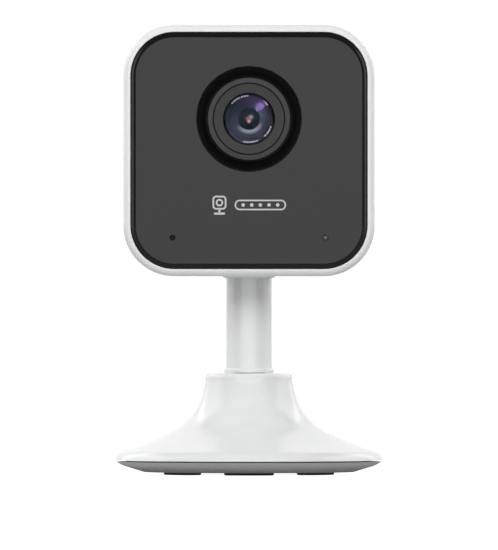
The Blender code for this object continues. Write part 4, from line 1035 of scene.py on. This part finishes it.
lip_turn = np.linspace(0, math.pi / 2, 5)
lip_rows = [lip_row(LIP_TAPER * math.cos(turn), head_bottom - LIP_DROP * (1 - math.sin(turn)))
            for turn in lip_turn]
lip_rows = [lip_pole(lip_low), *lip_rows, lip_row(0, head_bottom + sunk), lip_pole(head_bottom + sunk)]
combine(head_moulding, skin("slot_lip", np.stack(lip_rows)), "UNION")
swing = slot_outline(0, HEAD_REAR + 2, head_bottom - 2)
combine(head_moulding, prism("slot_swing", swing, -POCKET_HALF, POCKET_HALF, "x"))
print("slot cut:", len(head_moulding.data.polygons), "faces")

# %% [markdown]
# ## Sockets, sound holes and the button's hole
#
# The rear carries a window for the power plug and a small grille for the speaker: a hole in the
# middle and two rings round it, of six and twelve. The card slot and the reset button are in the
# side wall. They are all far apart, so one Boolean makes them together.

# %% The small openings
usb_low, usb_high = span("usb_socket")
usb_wide, _, usb_tall = usb_high - usb_low
usb_at = tuple(middle_of("usb_socket")[[0, 2]])
card_at = tuple(middle_of("card_socket")[1:])
button_low, button_high = span("reset_button")
button_at = tuple(middle_of("reset_button")[1:])
THROUGH_REAR = (9, 15)
THROUGH_SIDE = (-33, -26)
SOUND_HOLE = 0.6
SOUND_PITCH = 2.6
SOUND_RINGS = 3
USB_GAP = 0.3
CARD_SLOT = (1.4, 12.0)
BUTTON_HOLE = 1.35

usb_window = rounded_box(usb_wide + 2 * USB_GAP, usb_tall + 2 * USB_GAP, 0.75, usb_at)
openings = [prism("usb_window", usb_window, *THROUGH_REAR),
            prism("card_way", rounded_box(*CARD_SLOT, 0.65, card_at), *THROUGH_SIDE, "x"),
            prism("button_way", circle(BUTTON_HOLE, button_at, 48), *THROUGH_SIDE, "x")]
for ring in range(SOUND_RINGS):
    count = max(1, 6 * ring)
    for step in range(count):
        angle = step * math.tau / count
        spot = (ring * SOUND_PITCH * math.cos(angle), LENS_HEIGHT + ring * SOUND_PITCH * math.sin(angle))
        openings.append(prism(f"sound_{ring}_{step}", circle(SOUND_HOLE, spot, 28), *THROUGH_REAR))
combine(head_moulding, joined("openings", openings))
combine(head_moulding, prism("pin_way", pin_outline, -PIN_WAY_HEAD, PIN_WAY_HEAD, "x"))
fit(head_moulding, "head", head_white, "head_shell")

# %% [markdown]
# ## The front panel
#
# The panel's face lies between two outlines: the circle of the lens window and a rounded square.
# Both are the same columns of points, each circle point on the line from the lens to its partner
# on the square, so the face is a blend of the two. Its rim slopes down to a narrow ledge. The slope
# mirrors a dark part of the room, and the flatter ledge mirrors the bright front at the sides and the
# dark ceiling at the top, which draws the fine dark and light lines round the face.

# %% The panel with its stepped rim
PANEL_HALF = (panel_high[0] - panel_low[0]) / 2
PANEL_CORNER = 10.25
PANEL_FRONT, PANEL_BACK = panel_low[1], panel_high[1]
PANEL_RIM = 1.1
RIM_LEDGE = 0.60
RIM_STEP = 0.27
RIM_FALL = 0.11
WINDOW_RADIUS = 12.45
WINDOW_ROUND = 0.12

rim_profile, _ = soft_profile([
    (PANEL_RIM + 0.6, PANEL_FRONT, 0), (PANEL_RIM, PANEL_FRONT, 0.15),
    (RIM_LEDGE, PANEL_FRONT + RIM_STEP, 0.08), (0, PANEL_FRONT + RIM_STEP + RIM_FALL, 0.15),
    (0, PANEL_BACK, 0)], steps=8)
rim_edge = np.concatenate([[0, 0], np.ones(len(rim_profile) - 2)])
rim_grid = square_grid(PANEL_HALF - rim_profile[:, 0], PANEL_CORNER - rim_profile[:, 0], rim_profile[:, 1])
to_lens = rim_grid[0][:, [0, 2]] - [0, LENS_HEIGHT]
to_lens = to_lens / np.linalg.norm(to_lens, axis=1, keepdims=True)


def window_row(radius, depth):
    """A circle round the lens, with one point for every column of the rounded square."""
    return np.column_stack([radius * to_lens[:, 0], np.full(len(to_lens), depth),
                            LENS_HEIGHT + radius * to_lens[:, 1]])


window_turn = np.linspace(0, math.pi / 2, 4)
window_rows = [window_row(WINDOW_RADIUS, PANEL_BACK)]
window_rows += [window_row(WINDOW_RADIUS + WINDOW_ROUND * (1 - math.cos(turn)),
                           PANEL_FRONT + WINDOW_ROUND * (1 - math.sin(turn))) for turn in window_turn]
window_rows.append(window_row(WINDOW_RADIUS + WINDOW_ROUND + 0.08, PANEL_FRONT))
face_share = np.linspace(0, 1, 9)[1:-1, None, None]
face_rows = (1 - face_share) * window_rows[-1] + face_share * rim_grid[0]
panel_grid = np.concatenate([window_rows, face_rows, rim_grid])
panel_edge = np.concatenate([np.ones(window_turn.size), [0, 0], np.zeros(len(face_rows)), rim_edge])
panel = skin("smoked_panel", panel_grid, closed_rows=True, edge=panel_edge)

boot_low, boot_high = span("microphone_boot")
pipe_high = span("light_pipe")[1]
mic_spot = tuple(middle_of("microphone_boot")[[0, 2]])
pipe_spot = tuple(middle_of("light_pipe")[[0, 2]])
MIC_PORT = 0.68
LIGHT_PORT = 0.80
ports = [prism("mic_port", circle(MIC_PORT, mic_spot, 40), PANEL_FRONT - 1, PANEL_BACK + 1),
         prism("light_port", circle(LIGHT_PORT, pipe_spot, 40), PANEL_FRONT - 1, PANEL_BACK + 1)]
combine(panel, joined("ports", ports))
fit(panel, "head", smoke_panel, "front_panel")

# %% [markdown]
# ## The lens surround
#
# A glossy black funnel leads from the panel down to the lens barrel. Its wall is hollow like the
# inside of a bowl: steep at the top and flat at the bottom, as 1 - (1 - t)^1.7 is. The barrel is
# satin grey with a thin groove, and a conical ring inside the groove holds the glass.

# %% Funnel, barrel and retaining ring
FUNNEL_OUTER = 12.3
FUNNEL_INNER = 9.95
FUNNEL_DEPTH = 1.767
FUNNEL_LIP = 0.12
BOWL_POWER = 1.7
BARREL_RADIUS = barrel_high[0]
BARREL_FRONT, BARREL_BACK = barrel_low[1], barrel_high[1]
RING_SEAT = 8.58
RING_RADIUS = 8.34
GLASS_BORE = 6.15
BARREL_STEP = BARREL_FRONT + 1.9
RING_BACK = BARREL_FRONT + 1.7

share = np.linspace(0, 1, 22)
bowl_mouth = FUNNEL_OUTER - FUNNEL_LIP
bowl_radius = bowl_mouth - (bowl_mouth - FUNNEL_INNER) * share
bowl_depth = PANEL_FRONT + FUNNEL_LIP / 2 + FUNNEL_DEPTH * (1 - (1 - share) ** BOWL_POWER)
funnel_end = PANEL_BACK + 0.3
funnel_back, _ = soft_profile([(FUNNEL_INNER, bowl_depth[-1], 0), (FUNNEL_INNER, funnel_end, 0),
                               (FUNNEL_OUTER, funnel_end, 0),
                               (FUNNEL_OUTER, PANEL_FRONT + FUNNEL_LIP, 0.05)])
funnel_profile = np.concatenate([np.stack([bowl_radius, bowl_depth], axis=1), funnel_back[1:]])
funnel = skin("lens_funnel", about_lens(funnel_profile), closed_rows=True)
fit(funnel, "head", bezel_black, "lens_bezel")

barrel = turned_piece("focus_barrel", [
    (RING_SEAT, BARREL_STEP, 0), (RING_SEAT, BARREL_FRONT, 0.08),
    (BARREL_RADIUS, BARREL_FRONT + 0.16, 0.22), (BARREL_RADIUS, BARREL_BACK, 0.1),
    (GLASS_BORE, BARREL_BACK, 0.1), (GLASS_BORE, BARREL_STEP, 0)], about_lens, closed=True)
fit(barrel, "head", barrel_grey, "lens_barrel")

ring = turned_piece("glass_ring", [
    (GLASS_BORE, RING_BACK, 0), (GLASS_BORE, BARREL_FRONT + 0.34, 0.1),
    (RING_RADIUS, BARREL_FRONT + 0.06, 0.12), (RING_RADIUS, RING_BACK, 0)], about_lens, closed=True)
fit(ring, "head", ring_grey, "lens_retaining_ring")

# %% [markdown]
# ## Glass and what shows through it
#
# The front glass is a shallow dome with an anti-reflection coating that leaves only a faint, cool
# mirror image. Behind it sit a ridged slate stop with the aperture in its middle and a second,
# smaller glass. The glass refracts, and the colours behind it are painted light: soft spots of
# painted highlight and painted reflection, and painted shade and painted reflection that lean
# towards one side of the lens, each a mask times a colour.

# %% The lens materials
GLASS_RADIUS = 5.85
GLASS_RISE = 0.7
PUPIL_RADIUS = 2.45
RIDGE_DEEP = 0.06 * METRES_PER_MM

front_glass = finish("coated_glass", (0.93, 0.96, 0.98, 1), 0.075, tone=0.01, relief=0.002,
                     uneven=0.01, Transmission_Weight=1.0, IOR=1.55,
                     Specular_Tint=(0.08, 0.11, 0.12, 1))


def leaning(tree, away, angle, low, high):
    """How far a point lies towards an angle: the dot product with that direction, from low to high."""
    turned = math.radians(angle)
    along = add(tree, "VectorMath", {0: away, 1: (math.cos(turned), 0.0, math.sin(turned))},
                operation="DOT_PRODUCT").outputs["Value"]
    return spread(tree, along, 0, 1, low * METRES_PER_MM, high * METRES_PER_MM)


def painted_highlight_spot(tree, away, middle, radius):
    """The mask of a painted highlight: one in the middle of a spot, falling smoothly to nothing at its
    radius.
    """
    place = (middle[0] * METRES_PER_MM, 0.0, middle[1] * METRES_PER_MM)
    from_middle = add(tree, "VectorMath", {0: away, 1: place}, operation="SUBTRACT").outputs[0]
    flat = add(tree, "VectorMath", {0: from_middle, 1: ACROSS_LENS}, operation="MULTIPLY").outputs[0]
    distance = add(tree, "VectorMath", {0: flat}, operation="LENGTH").outputs["Value"]
    near = spread(tree, distance, 1, 0, 0, radius * METRES_PER_MM)
    return arithmetic(tree, "MULTIPLY", near, near)


def rings_with_painted_light(name, pitch, stops, stop_span, painted_light_layers, relief, **constants):
    """Rings: a ramp over the distance from the lens's axis, then layers of painted light over it."""
    material, tree, shader, position, _ = start_material(name)
    rings = place_effect(tree, ring_group, {"Position": position, "Centre": LENS_CENTRE,
                                            "Across": ACROSS_LENS, "Pitch": pitch})
    share = spread(tree, rings["Distance"], 0, 1, *(r * METRES_PER_MM for r in stop_span))
    ramp = add(tree, "ValToRGB", {"Fac": share})
    ramp.color_ramp.elements[0].color = stops[0][1]
    ramp.color_ramp.elements[1].color = stops[-1][1]
    for place, colour in stops[1:-1]:
        ramp.color_ramp.elements.new(place).color = colour
    base = place_effect(tree, grain_group, {"Position": position, "Colour": ramp.outputs["Color"],
                                            "Tone": 0.12, "Grain": 2600.0, "Roughness": 0.35,
                                            "Spread": 0.08})
    away = add(tree, "VectorMath", {0: position, 1: LENS_CENTRE}, operation="SUBTRACT").outputs[0]
    shade = base["Colour"]
    # Each layer mixes in painted light, a mask times a colour: painted shade, painted reflection and painted
    # highlight.
    for mask, colour in painted_light_layers:
        shade = mixed(tree, mask(tree, away, rings["Distance"]), shade, colour)
    surface_of(tree, shader, shade, base["Roughness"], rings["Height"], relief, RIDGE_DEEP)
    set_plain(shader, constants)
    return material


def painted_light_towards_side(angle, low, high, most):
    """Painted light that grows towards one side of the lens, up to its most: painted shade with a dark
    colour, painted reflection with a light one.
    """
    def mask(tree, away, distance):
        return arithmetic(tree, "MULTIPLY", leaning(tree, away, angle, low, high), most)
    return mask


def painted_highlight_mask(middle, radius):
    """A painted highlight: a soft round spot of painted reflection on a surface inside the lens."""
    def mask(tree, away, distance):
        return painted_highlight_spot(tree, away, middle, radius)
    return mask


def painted_crescent_highlight(tree, away, distance):
    """A painted highlight: the lower part of a narrow ring round the pupil."""
    lower = leaning(tree, away, -82, 0.9, 2.6)
    near = spread(tree, distance, 1, 0, 2.8 * METRES_PER_MM, 3.6 * METRES_PER_MM)
    return arithmetic(tree, "MULTIPLY", lower, near)


stop_slate = rings_with_painted_light(
    "slate_stop_painted_reflections", 0.00042,
    ((0.0, (0.030, 0.040, 0.044, 1)), (0.10, (0.055, 0.070, 0.082, 1)), (0.24, (0.034, 0.046, 0.050, 1)),
     (0.45, (0.050, 0.066, 0.072, 1)), (0.62, (0.030, 0.038, 0.042, 1)), (0.78, (0.055, 0.062, 0.070, 1)),
     (1.0, (0.020, 0.020, 0.024, 1))),
    (PUPIL_RADIUS, GLASS_RADIUS),
    # Painted light over the stop: painted shade at the upper left, a painted violet reflection at the top,
    # painted shade at the right, a painted teal reflection beside the pupil and a painted highlight below the
    # pupil.
    ((painted_light_towards_side(135, 0.4, 3.4, 0.85), (0.004, 0.014, 0.014, 1)),
     (painted_light_towards_side(80, 2.4, 5.0, 0.8), (0.085, 0.060, 0.120, 1)),
     (painted_light_towards_side(-5, 2.6, 4.8, 0.75), (0.022, 0.018, 0.020, 1)),
     (painted_highlight_mask((2.75, 0.75), 1.5), (0.030, 0.150, 0.115, 1)),
     (painted_crescent_highlight, (0.34, 0.37, 0.38, 1))),
    relief=0.25, IOR=1.12)

inner_glass = rings_with_painted_light(
    "teal_glass_painted_glints", 0.00030,
    ((0.0, (0.020, 0.022, 0.022, 1)), (0.45, (0.004, 0.010, 0.012, 1)), (0.75, (0.003, 0.014, 0.017, 1)),
     (1.0, (0.003, 0.012, 0.014, 1))),
    (0.0, PUPIL_RADIUS + 0.4),
    # Painted glints on the small glass: an orange one left of the middle, a pale one at the upper right and a
    # warm one below.
    ((painted_highlight_mask((-0.45, 0.10), 0.75), (0.42, 0.13, 0.06, 1)),
     (painted_highlight_mask((0.42, 0.45), 0.95), (0.58, 0.52, 0.52, 1)),
     (painted_highlight_mask((0.0, -0.45), 0.70), (1.0, 0.80, 0.52, 1))),
    relief=0.02, IOR=1.12)
print("lens materials:", front_glass.name, stop_slate.name, inner_glass.name)

# %% The glass, the stop and the inner glass
glass_low, glass_high = span("front_element")
stop_low, stop_high = span("aperture_stop")
inner_low, inner_high = span("inner_element")


def cap_profile(radius, rise, apex, steps=28):
    """A shallow spherical cap from its middle out. The ball's radius is (r^2 + rise^2) / (2 rise)."""
    ball = (radius**2 + rise**2) / (2 * rise)
    run = radius * np.linspace(0, 1, steps)
    return np.stack([run, apex + ball - np.sqrt(ball**2 - run**2)], axis=1)


GLASS_EDGE = 0.08
glass_face = cap_profile(GLASS_RADIUS - GLASS_EDGE, GLASS_RISE, glass_low[1])
glass_rim, _ = soft_profile([tuple(glass_face[-1]) + (0,), (GLASS_RADIUS, glass_face[-1, 1] + 0.1, 0.05),
                             (GLASS_RADIUS, glass_high[1], 0.1), (0, glass_high[1], 0)])
glass = skin("front_glass", about_lens(np.concatenate([glass_face, glass_rim[1:]])))
fit(glass, "head", front_glass, "front_element")

stop = turned_piece("iris_stop", [
    (PUPIL_RADIUS, stop_high[1], 0), (PUPIL_RADIUS, stop_low[1], 0.08), (GLASS_RADIUS, stop_low[1], 0.05),
    (GLASS_RADIUS, stop_high[1], 0)], about_lens, closed=True)
fit(stop, "head", stop_slate, "aperture_stop")

INNER_RADIUS = inner_high[0]
INNER_RISE, INNER_BACK_RISE = 1.2, 0.4
inner_face = cap_profile(INNER_RADIUS, INNER_RISE, inner_low[1])
inner_back = (cap_profile(INNER_RADIUS, INNER_BACK_RISE, 0) * [1, -1] + [0, inner_high[1]])[::-1]
small_glass = skin("inner_glass", about_lens(np.concatenate([inner_face, inner_back])))
fit(small_glass, "head", inner_glass, "inner_element")
print(f"inner glass: rim {inner_face[-1, 1]:.2f} to {inner_back[0, 1]:.2f} deep")

# %% [markdown]
# ### Marks on the lens
#
# A lens carries a ring of tiny engraved marks near the rim of its glass. Here they are plain
# dashes in four groups, each a thin tile bent along its arc.

# %% Engraved dashes
DASH_RADIUS = 5.50
DASH_HALF = 0.15
DASH_THICK = 0.03
DASH_SEAT = glass_low[1] + 0.545
DASH_SHARES = (0.45, 0.66, 0.66)


def arc_tile(name, radius, half, start, stop, front, thick):
    """A flat tile between two radii and two angles about the lens, in degrees."""
    angle = np.radians(np.linspace(start, stop, max(3, int(abs(stop - start) / 2) + 2)))
    ray = np.stack([np.cos(angle), np.sin(angle)], axis=1)
    outline = np.concatenate([(radius + half) * ray, (radius - half) * ray[::-1]]) + [0, LENS_HEIGHT]
    return prism(name, outline, front, front + thick)


# start and stop in degrees, and how many dashes
DASH_GROUPS = ((138, 88, 7), (51, 35, 3), (-19, -50, 5), (-68, -106, 6))
dashes = []
for start, stop, count in DASH_GROUPS:
    pitch = (stop - start) / count
    for i in range(count):
        dashes.append(arc_tile(f"dash_{start}_{i}", DASH_RADIUS, DASH_HALF, start + i * pitch,
                               start + (i + DASH_SHARES[i % 3]) * pitch, DASH_SEAT, DASH_THICK))
dash_ring = joined("lens_dashes", dashes)
fit(dash_ring, "head", engraved_white, "front_element", replaces=False)

# %% [markdown]
# ## The printed mark
#
# Under the lens a maker prints a mark. This one is a plain sign of its own: a little camera on its
# stand, and beside it a pill with five dots. Printed ink has almost no thickness, so the shapes
# stand a few hundredths of a millimetre proud of the panel.

# %% The sign
MARK_HEIGHT = 64.1
INK = 0.03


def band(name, outer, inner):
    """A closed stripe between two outlines of the same number of points."""
    def row(outline, depth):
        return np.column_stack([outline[:, 0], np.full(len(outline), depth), outline[:, 1]])
    front, back = PANEL_FRONT - INK / 2, PANEL_FRONT + INK / 2
    rows = [row(outer, back), row(outer, front), row(inner, front), row(inner, back)]
    return skin(name, np.stack(rows), closed_rows=True)


def solid_mark(name, outline):
    """A filled shape as thick as the ink."""
    return prism(name, outline, PANEL_FRONT - INK / 2, PANEL_FRONT + INK / 2)


SIGN_X, PILL_X = -7.0, 2.7
DOTS, DOT_RADIUS, DOT_PITCH = 5, 0.42, 2.05
body_at = (SIGN_X, MARK_HEIGHT + 0.55)
pill_at = (PILL_X, MARK_HEIGHT)
sign = [band("sign_body", rounded_box(3.3, 3.3, 0.85, body_at), rounded_box(2.5, 2.5, 0.5, body_at)),
        band("sign_lens", circle(0.88, body_at), circle(0.48, body_at)),
        solid_mark("sign_post", rounded_box(0.5, 0.62, 0.05, (SIGN_X, MARK_HEIGHT - 1.45))),
        solid_mark("sign_foot", rounded_box(2.6, 0.5, 0.22, (SIGN_X, MARK_HEIGHT - 2.05))),
        band("pill", rounded_box(12.2, 2.5, 1.2, pill_at), rounded_box(11.5, 1.8, 0.86, pill_at))]
for i in range(DOTS):
    dot_at = (PILL_X + DOT_PITCH * (i - DOTS // 2), MARK_HEIGHT)
    sign.append(solid_mark(f"dot_{i}", circle(DOT_RADIUS, dot_at)))
printed_sign = joined("printed_sign", sign)
fit(printed_sign, "head", printed_grey, "front_panel", replaces=False)

# %% [markdown]
# ## Microphone, status light and controls
#
# Four small things remain on the outside: the rubber sleeve behind the microphone's hole, the
# clear pin of the status light, the power socket with its tongue, and the reset button.

# %% Microphone sleeve, light pin, button
SLEEVE_BORE, SLEEVE_RADIUS = 0.5, 2.0
sleeve = turned_piece("microphone_sleeve", [
    (SLEEVE_BORE, boot_low[1], 0), (SLEEVE_RADIUS, boot_low[1], 0.1),
    (SLEEVE_RADIUS, boot_high[1], 0.1), (SLEEVE_BORE, boot_high[1], 0)],
    about_lens, closed=True, columns=64, centre=mic_spot)
fit(sleeve, "head", washer_rubber, "microphone_boot")

PIN_RADIUS, PIN_FLANGE = 0.50, 1.1
pin_face = PANEL_FRONT + 0.20
flange_front, flange_back = pipe_high[1] - 1.2, pipe_high[1]
light_pin = turned_piece("status_light_pin", [
    (0, pin_face, 0), (PIN_RADIUS, pin_face, 0.12), (PIN_RADIUS, flange_front, 0),
    (PIN_FLANGE, flange_front, 0.05), (PIN_FLANGE, flange_back, 0), (0, flange_back, 0)],
    about_lens, columns=64, centre=pipe_spot)
fit(light_pin, "head", clear_plastic, "light_pipe")


def about_side(profile, columns=64, centre=(0, 0)):
    """(x, r cos a, r sin a): a turned shape whose axis runs along x, through a (y, z) centre."""
    angle = np.arange(columns) * math.tau / columns
    radius, along = profile[:, :1], profile[:, 1:]
    return np.stack([along + 0 * angle, centre[0] + radius * np.cos(angle),
                     centre[1] + radius * np.sin(angle)], axis=-1)


BUTTON_RADIUS, BUTTON_FLANGE, BUTTON_STALK = 1.2, 1.8, 0.8
BUTTON_DIMPLE = 0.12
button_face, button_end = button_low[0], button_high[0]
flange_out, flange_in = -27.8, -27.2
button = turned_piece("reset_plunger", [
    (0, button_face + BUTTON_DIMPLE, 0), (0.62, button_face + BUTTON_DIMPLE, 0.25), (0.80, button_face, 0.1),
    (BUTTON_RADIUS, button_face, 0.2), (BUTTON_RADIUS, flange_out, 0), (BUTTON_FLANGE, flange_out, 0.05),
    (BUTTON_FLANGE, flange_in, 0.05), (BUTTON_STALK, flange_in, 0), (BUTTON_STALK, button_end, 0.1),
    (0, button_end, 0)], about_side, columns=64, centre=button_at)
fit(button, "reset_button", button_white, "reset_button")

# %% The power socket
USB_METAL = 0.3
USB_MOUTH = 5.0
TONGUE_SIZE = (0.7, 4.8)
CONTACTS = 5
CONTACT_SIZE = (0.08, 0.42)
CONTACT_PITCH = 0.85
CONTACT_SIDE = 0.37


def socket_row(shrink, depth):
    """The power socket's outline, made smaller all round, at one depth."""
    outline = rounded_box(usb_wide - 2 * shrink, usb_tall - 2 * shrink, 0.62 - shrink * 0.8, usb_at)
    return np.column_stack([outline[:, 0], np.full(len(outline), depth), outline[:, 1]])


def middle_row(row):
    """The same row shrunk to the socket's middle, which closes the surface there."""
    pole = row.copy()
    pole[:, [0, 2]] = usb_at
    return pole


mouth_floor = usb_high[1] - USB_MOUTH
usb_rear = usb_high[1]
socket_steps = ((0, usb_low[1]), (0, usb_rear - 0.08), (0.08, usb_rear), (USB_METAL - 0.06, usb_rear),
                (USB_METAL, usb_rear - 0.06), (USB_METAL, mouth_floor))
socket_rows = [socket_row(shrink, depth) for shrink, depth in socket_steps]
socket_rows = [middle_row(socket_rows[0]), *socket_rows, middle_row(socket_rows[-1])]
power_socket = skin("power_socket", np.stack(socket_rows))
fit(power_socket, "head", nickel, "usb_socket")

tongue = prism("power_tongue", rounded_box(*TONGUE_SIZE, 0.15, usb_at), mouth_floor - 0.2, usb_high[1] - 0.9)
fit(tongue, "head", black_plastic, "usb_socket", replaces=False)
contacts = []
for i in range(CONTACTS):
    contact_at = (usb_at[0] - CONTACT_SIDE, usb_at[1] + CONTACT_PITCH * (i - CONTACTS // 2))
    outline = rounded_box(*CONTACT_SIZE, 0.03, contact_at)
    contacts.append(prism(f"contact_{i}", outline, mouth_floor, usb_high[1] - 1.1))
power_contacts = joined("power_contacts", contacts)
fit(power_contacts, "head", nickel, "usb_socket", replaces=False)

# %% [markdown]
# ## Finishes for the parts inside
#
# The solids inside are shown as they are, through the openings and when someone opens the model.
# They still get finishes that fit them: green solder mask with copper under it, an etched aerial,
# a woven look for the speaker's cone.

# %% Boards, ribbon, speaker and the rest


def trace_mask(tree, position):
    """Copper lines under the solder mask: the thin borders between cells of a Voronoi pattern."""
    cells = add(tree, "TexVoronoi", {"Vector": position, "Scale": 320.0}, feature="DISTANCE_TO_EDGE")
    return spread(tree, cells.outputs["Distance"], 1, 0, 0.03, 0.06)


def weave_mask(tree, position):
    """Crossed threads: the product of two waves."""
    one = add(tree, "TexWave", {"Vector": position, "Scale": 900.0}, bands_direction="X")
    two = add(tree, "TexWave", {"Vector": position, "Scale": 900.0}, bands_direction="Z")
    return arithmetic(tree, "MULTIPLY", one.outputs["Fac"], two.outputs["Fac"])


board_green = finish("solder_mask_green", (0.010, 0.085, 0.035, 1), 0.35, tone=0.10, relief=0.2,
                     second=((0.03, 0.17, 0.06, 1), trace_mask))
aerial_copper = finish("etched_copper", (0.55, 0.30, 0.14, 1), 0.35, tone=0.15, relief=0.3, Metallic=1.0,
                       second=((0.35, 0.18, 0.08, 1), trace_mask))
ribbon_amber = finish("ribbon_film", (0.52, 0.36, 0.14, 1), 0.3, tone=0.08, relief=0.2,
                      second=((0.38, 0.24, 0.08, 1), trace_mask))
speaker_cone = finish("speaker_cone", (0.030, 0.030, 0.034, 1), 0.65, tone=0.2, relief=0.5,
                      second=((0.055, 0.055, 0.06, 1), weave_mask))
lamp_dark = finish("infrared_resin", (0.03, 0.010, 0.030, 1), 0.12, tone=0.1, relief=0.02, IOR=1.54)
filter_red = finish("filter_glass", (0.30, 0.10, 0.14, 1), 0.05, tone=0.05, relief=0.01, Coat_Weight=0.5)
chip_black = finish("sensor_glass", (0.02, 0.02, 0.035, 1), 0.15, tone=0.3, relief=0.05,
                    second=((0.05, 0.03, 0.08, 1), weave_mask))
frame_black = finish("frame_black_resin", (0.012, 0.012, 0.013, 1), 0.6, tone=0.15, relief=0.4)

inside_finishes = (
    (rolled_steel, "ballast_ring swivel_washer"),
    (screw_steel, "swivel_screw tilt_pin head_screw_1 head_screw_2 head_screw_3 head_screw_4"),
    (washer_rubber, "friction_ring tilt_washer_left tilt_washer_right"),
    (frame_black, "panel_frame lens_holder"), (black_plastic, "reset_switch"),
    (filter_red, "infrared_filter"), (chip_black, "image_sensor"),
    (board_green, "front_board main_board"), (lamp_dark, "infrared_lamp_left infrared_lamp_right"),
    (nickel, "processor_shield card_socket"), (speaker_cone, "speaker"),
    (aerial_copper, "wifi_antenna"), (ribbon_amber, "ribbon_cable"))
shown = 0
for material, node_names in inside_finishes:
    for node_name in node_names.split():
        shown += 1
        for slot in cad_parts[node_name].material_slots:
            slot.material = material
print("solids shown as they are:", shown)

# %% [markdown]
# ## Studio
#
# The floor is a pale table that glows a little, as a lightbox does, and the background is white. A
# white part would vanish on white if light came from everywhere, so the light is shaped. Soft fills
# light the matt part of a surface from the front, the sides and high up. Sheens are only seen
# mirrored: in front, on each side and behind, with dark gaps between them. The gaps draw the darker
# bands down the post, the dark above draws the black line on the panel's rim, and the sheen behind
# keeps the outline of the base light. One small violet lamp makes the sparkle in the glass.

# %% Floor and background
FLOOR_RADIUS = 6000.0
FLOOR_THICK = 20.0
TABLE_GLOW = 0.08
TABLE_SEEN = 0.93
SURROUND = 0.20
BACKDROP = 1.05

floor_rows = np.array([[0.0, 0.0], [300.0, 0.0], [1500.0, 0.0], [FLOOR_RADIUS, 0.0],
                       [FLOOR_RADIUS, -FLOOR_THICK], [0.0, -FLOOR_THICK]])
floor = skin("table", about_upright(floor_rows, columns=96))
table_material = finish("pale_table", (0.45, 0.45, 0.45, 1), 0.8, tone=0.01, grain=300.0, relief=0.02,
                        Emission_Color=(1, 1, 1, 1))
table_tree = table_material.node_tree
looked_at = add(table_tree, "LightPath").outputs["Is Camera Ray"]
table_tree.links.new(spread(table_tree, looked_at, TABLE_GLOW, TABLE_SEEN),
                     table_tree.nodes["Principled BSDF"].inputs["Emission Strength"])
floor.data.materials.append(table_material)
floor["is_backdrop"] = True

world = bpy.data.worlds.new("studio_air")
world.use_nodes = True
sky = world.node_tree
background = sky.nodes["Background"]
seen = add(sky, "LightPath").outputs["Is Camera Ray"]
sky.links.new(spread(sky, seen, SURROUND, BACKDROP), background.inputs["Strength"])
background.inputs["Color"].default_value = (1, 1, 1, 1)
bpy.context.scene.world = world
print(f"table seen at {TABLE_SEEN}, air {SURROUND}, backdrop {BACKDROP}")

# %% Soft panels
AIM = np.array([0, 0, 55 * METRES_PER_MM])


def soft_panel(name, azimuth, elevation, distance, width, height, radiance, sheen=False,
               shape="RECTANGLE", colour=(1, 1, 1)):
    """An area light round the object. Azimuth 0 is the viewer's side; power = radiance * pi * area.

    A fill lights matt surfaces and leaves no mirror image. A sheen is the opposite: it is only seen
    mirrored. Studios do the same with flags and gobos, which keep a lamp off part of a scene.
    """
    lamp = bpy.data.lights.new(name, "AREA")
    lamp.shape = shape
    lamp.size = width
    lamp.size_y = height
    lamp.energy = radiance * math.pi * width * height
    lamp.color = colour
    holder = bpy.data.objects.new(name, lamp)
    a, e = math.radians(azimuth), math.radians(elevation)
    away = np.array([math.sin(a) * math.cos(e), -math.cos(a) * math.cos(e), math.sin(e)])
    holder.location = AIM + away * distance
    holder.rotation_euler = (math.pi / 2 - e, 0, a)
    holder.visible_camera = False
    holder.visible_diffuse = not sheen
    holder.visible_glossy = sheen
    bpy.context.scene.collection.objects.link(holder)
    return holder


# name, azimuth, elevation, distance, width, height, radiance
FILLS = (("front_fill", 0, 38, 1.2, 1.9, 0.6, 3.35),
         ("left_fill", -95, 15, 1.2, 1.2, 1.0, 0.6),
         ("right_fill", 95, 15, 1.2, 1.2, 1.0, 0.5),
         ("left_high_fill", -75, 50, 1.2, 1.2, 0.8, 1.0),
         ("right_high_fill", 75, 50, 1.2, 1.2, 0.8, 0.3))
SIDE_SHEENS = (("left_sheen", -112, 20, 1.1, 1.3, 1.0, 1.1),
               ("right_sheen", 112, 20, 1.1, 1.3, 1.0, 1.1),
               ("rear_sheen", 180, 20, 1.2, 2.2, 1.2, 0.85))
VIOLET = (0.70, 0.34, 1.0)

for lamp_row in FILLS:
    soft_panel(*lamp_row)
soft_panel("front_sheen", 0, 5, 1.2, 1.9, 0.50, 1.20, sheen=True, shape="ELLIPSE")
for lamp_row in SIDE_SHEENS:
    soft_panel(*lamp_row, sheen=True)
sparkle = soft_panel("glass_sparkle", 12, 16, 1.1, 0.19, 0.19, 78.0, sheen=True, shape="DISK", colour=VIOLET)
sparkle.visible_transmission = False
lit_glass = bpy.data.collections.new("lit_by_sparkle")
lit_glass.objects.link(glass)
sparkle.light_linking.receiver_collection = lit_glass
print("lamps:", sorted(lamp.name for lamp in bpy.data.lights))

# %% [markdown]
# ## Sizes
#
# The new surfaces must stay inside the solids' own box. The size of everything shown is printed
# at the end.

# %% Print the size of what is shown
seen_low, seen_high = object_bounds()
size_mm = [round((high - low) / METRES_PER_MM, 2) for low, high in zip(seen_low, seen_high)]
print("pieces:", len(pieces_made), "size:", size_mm)
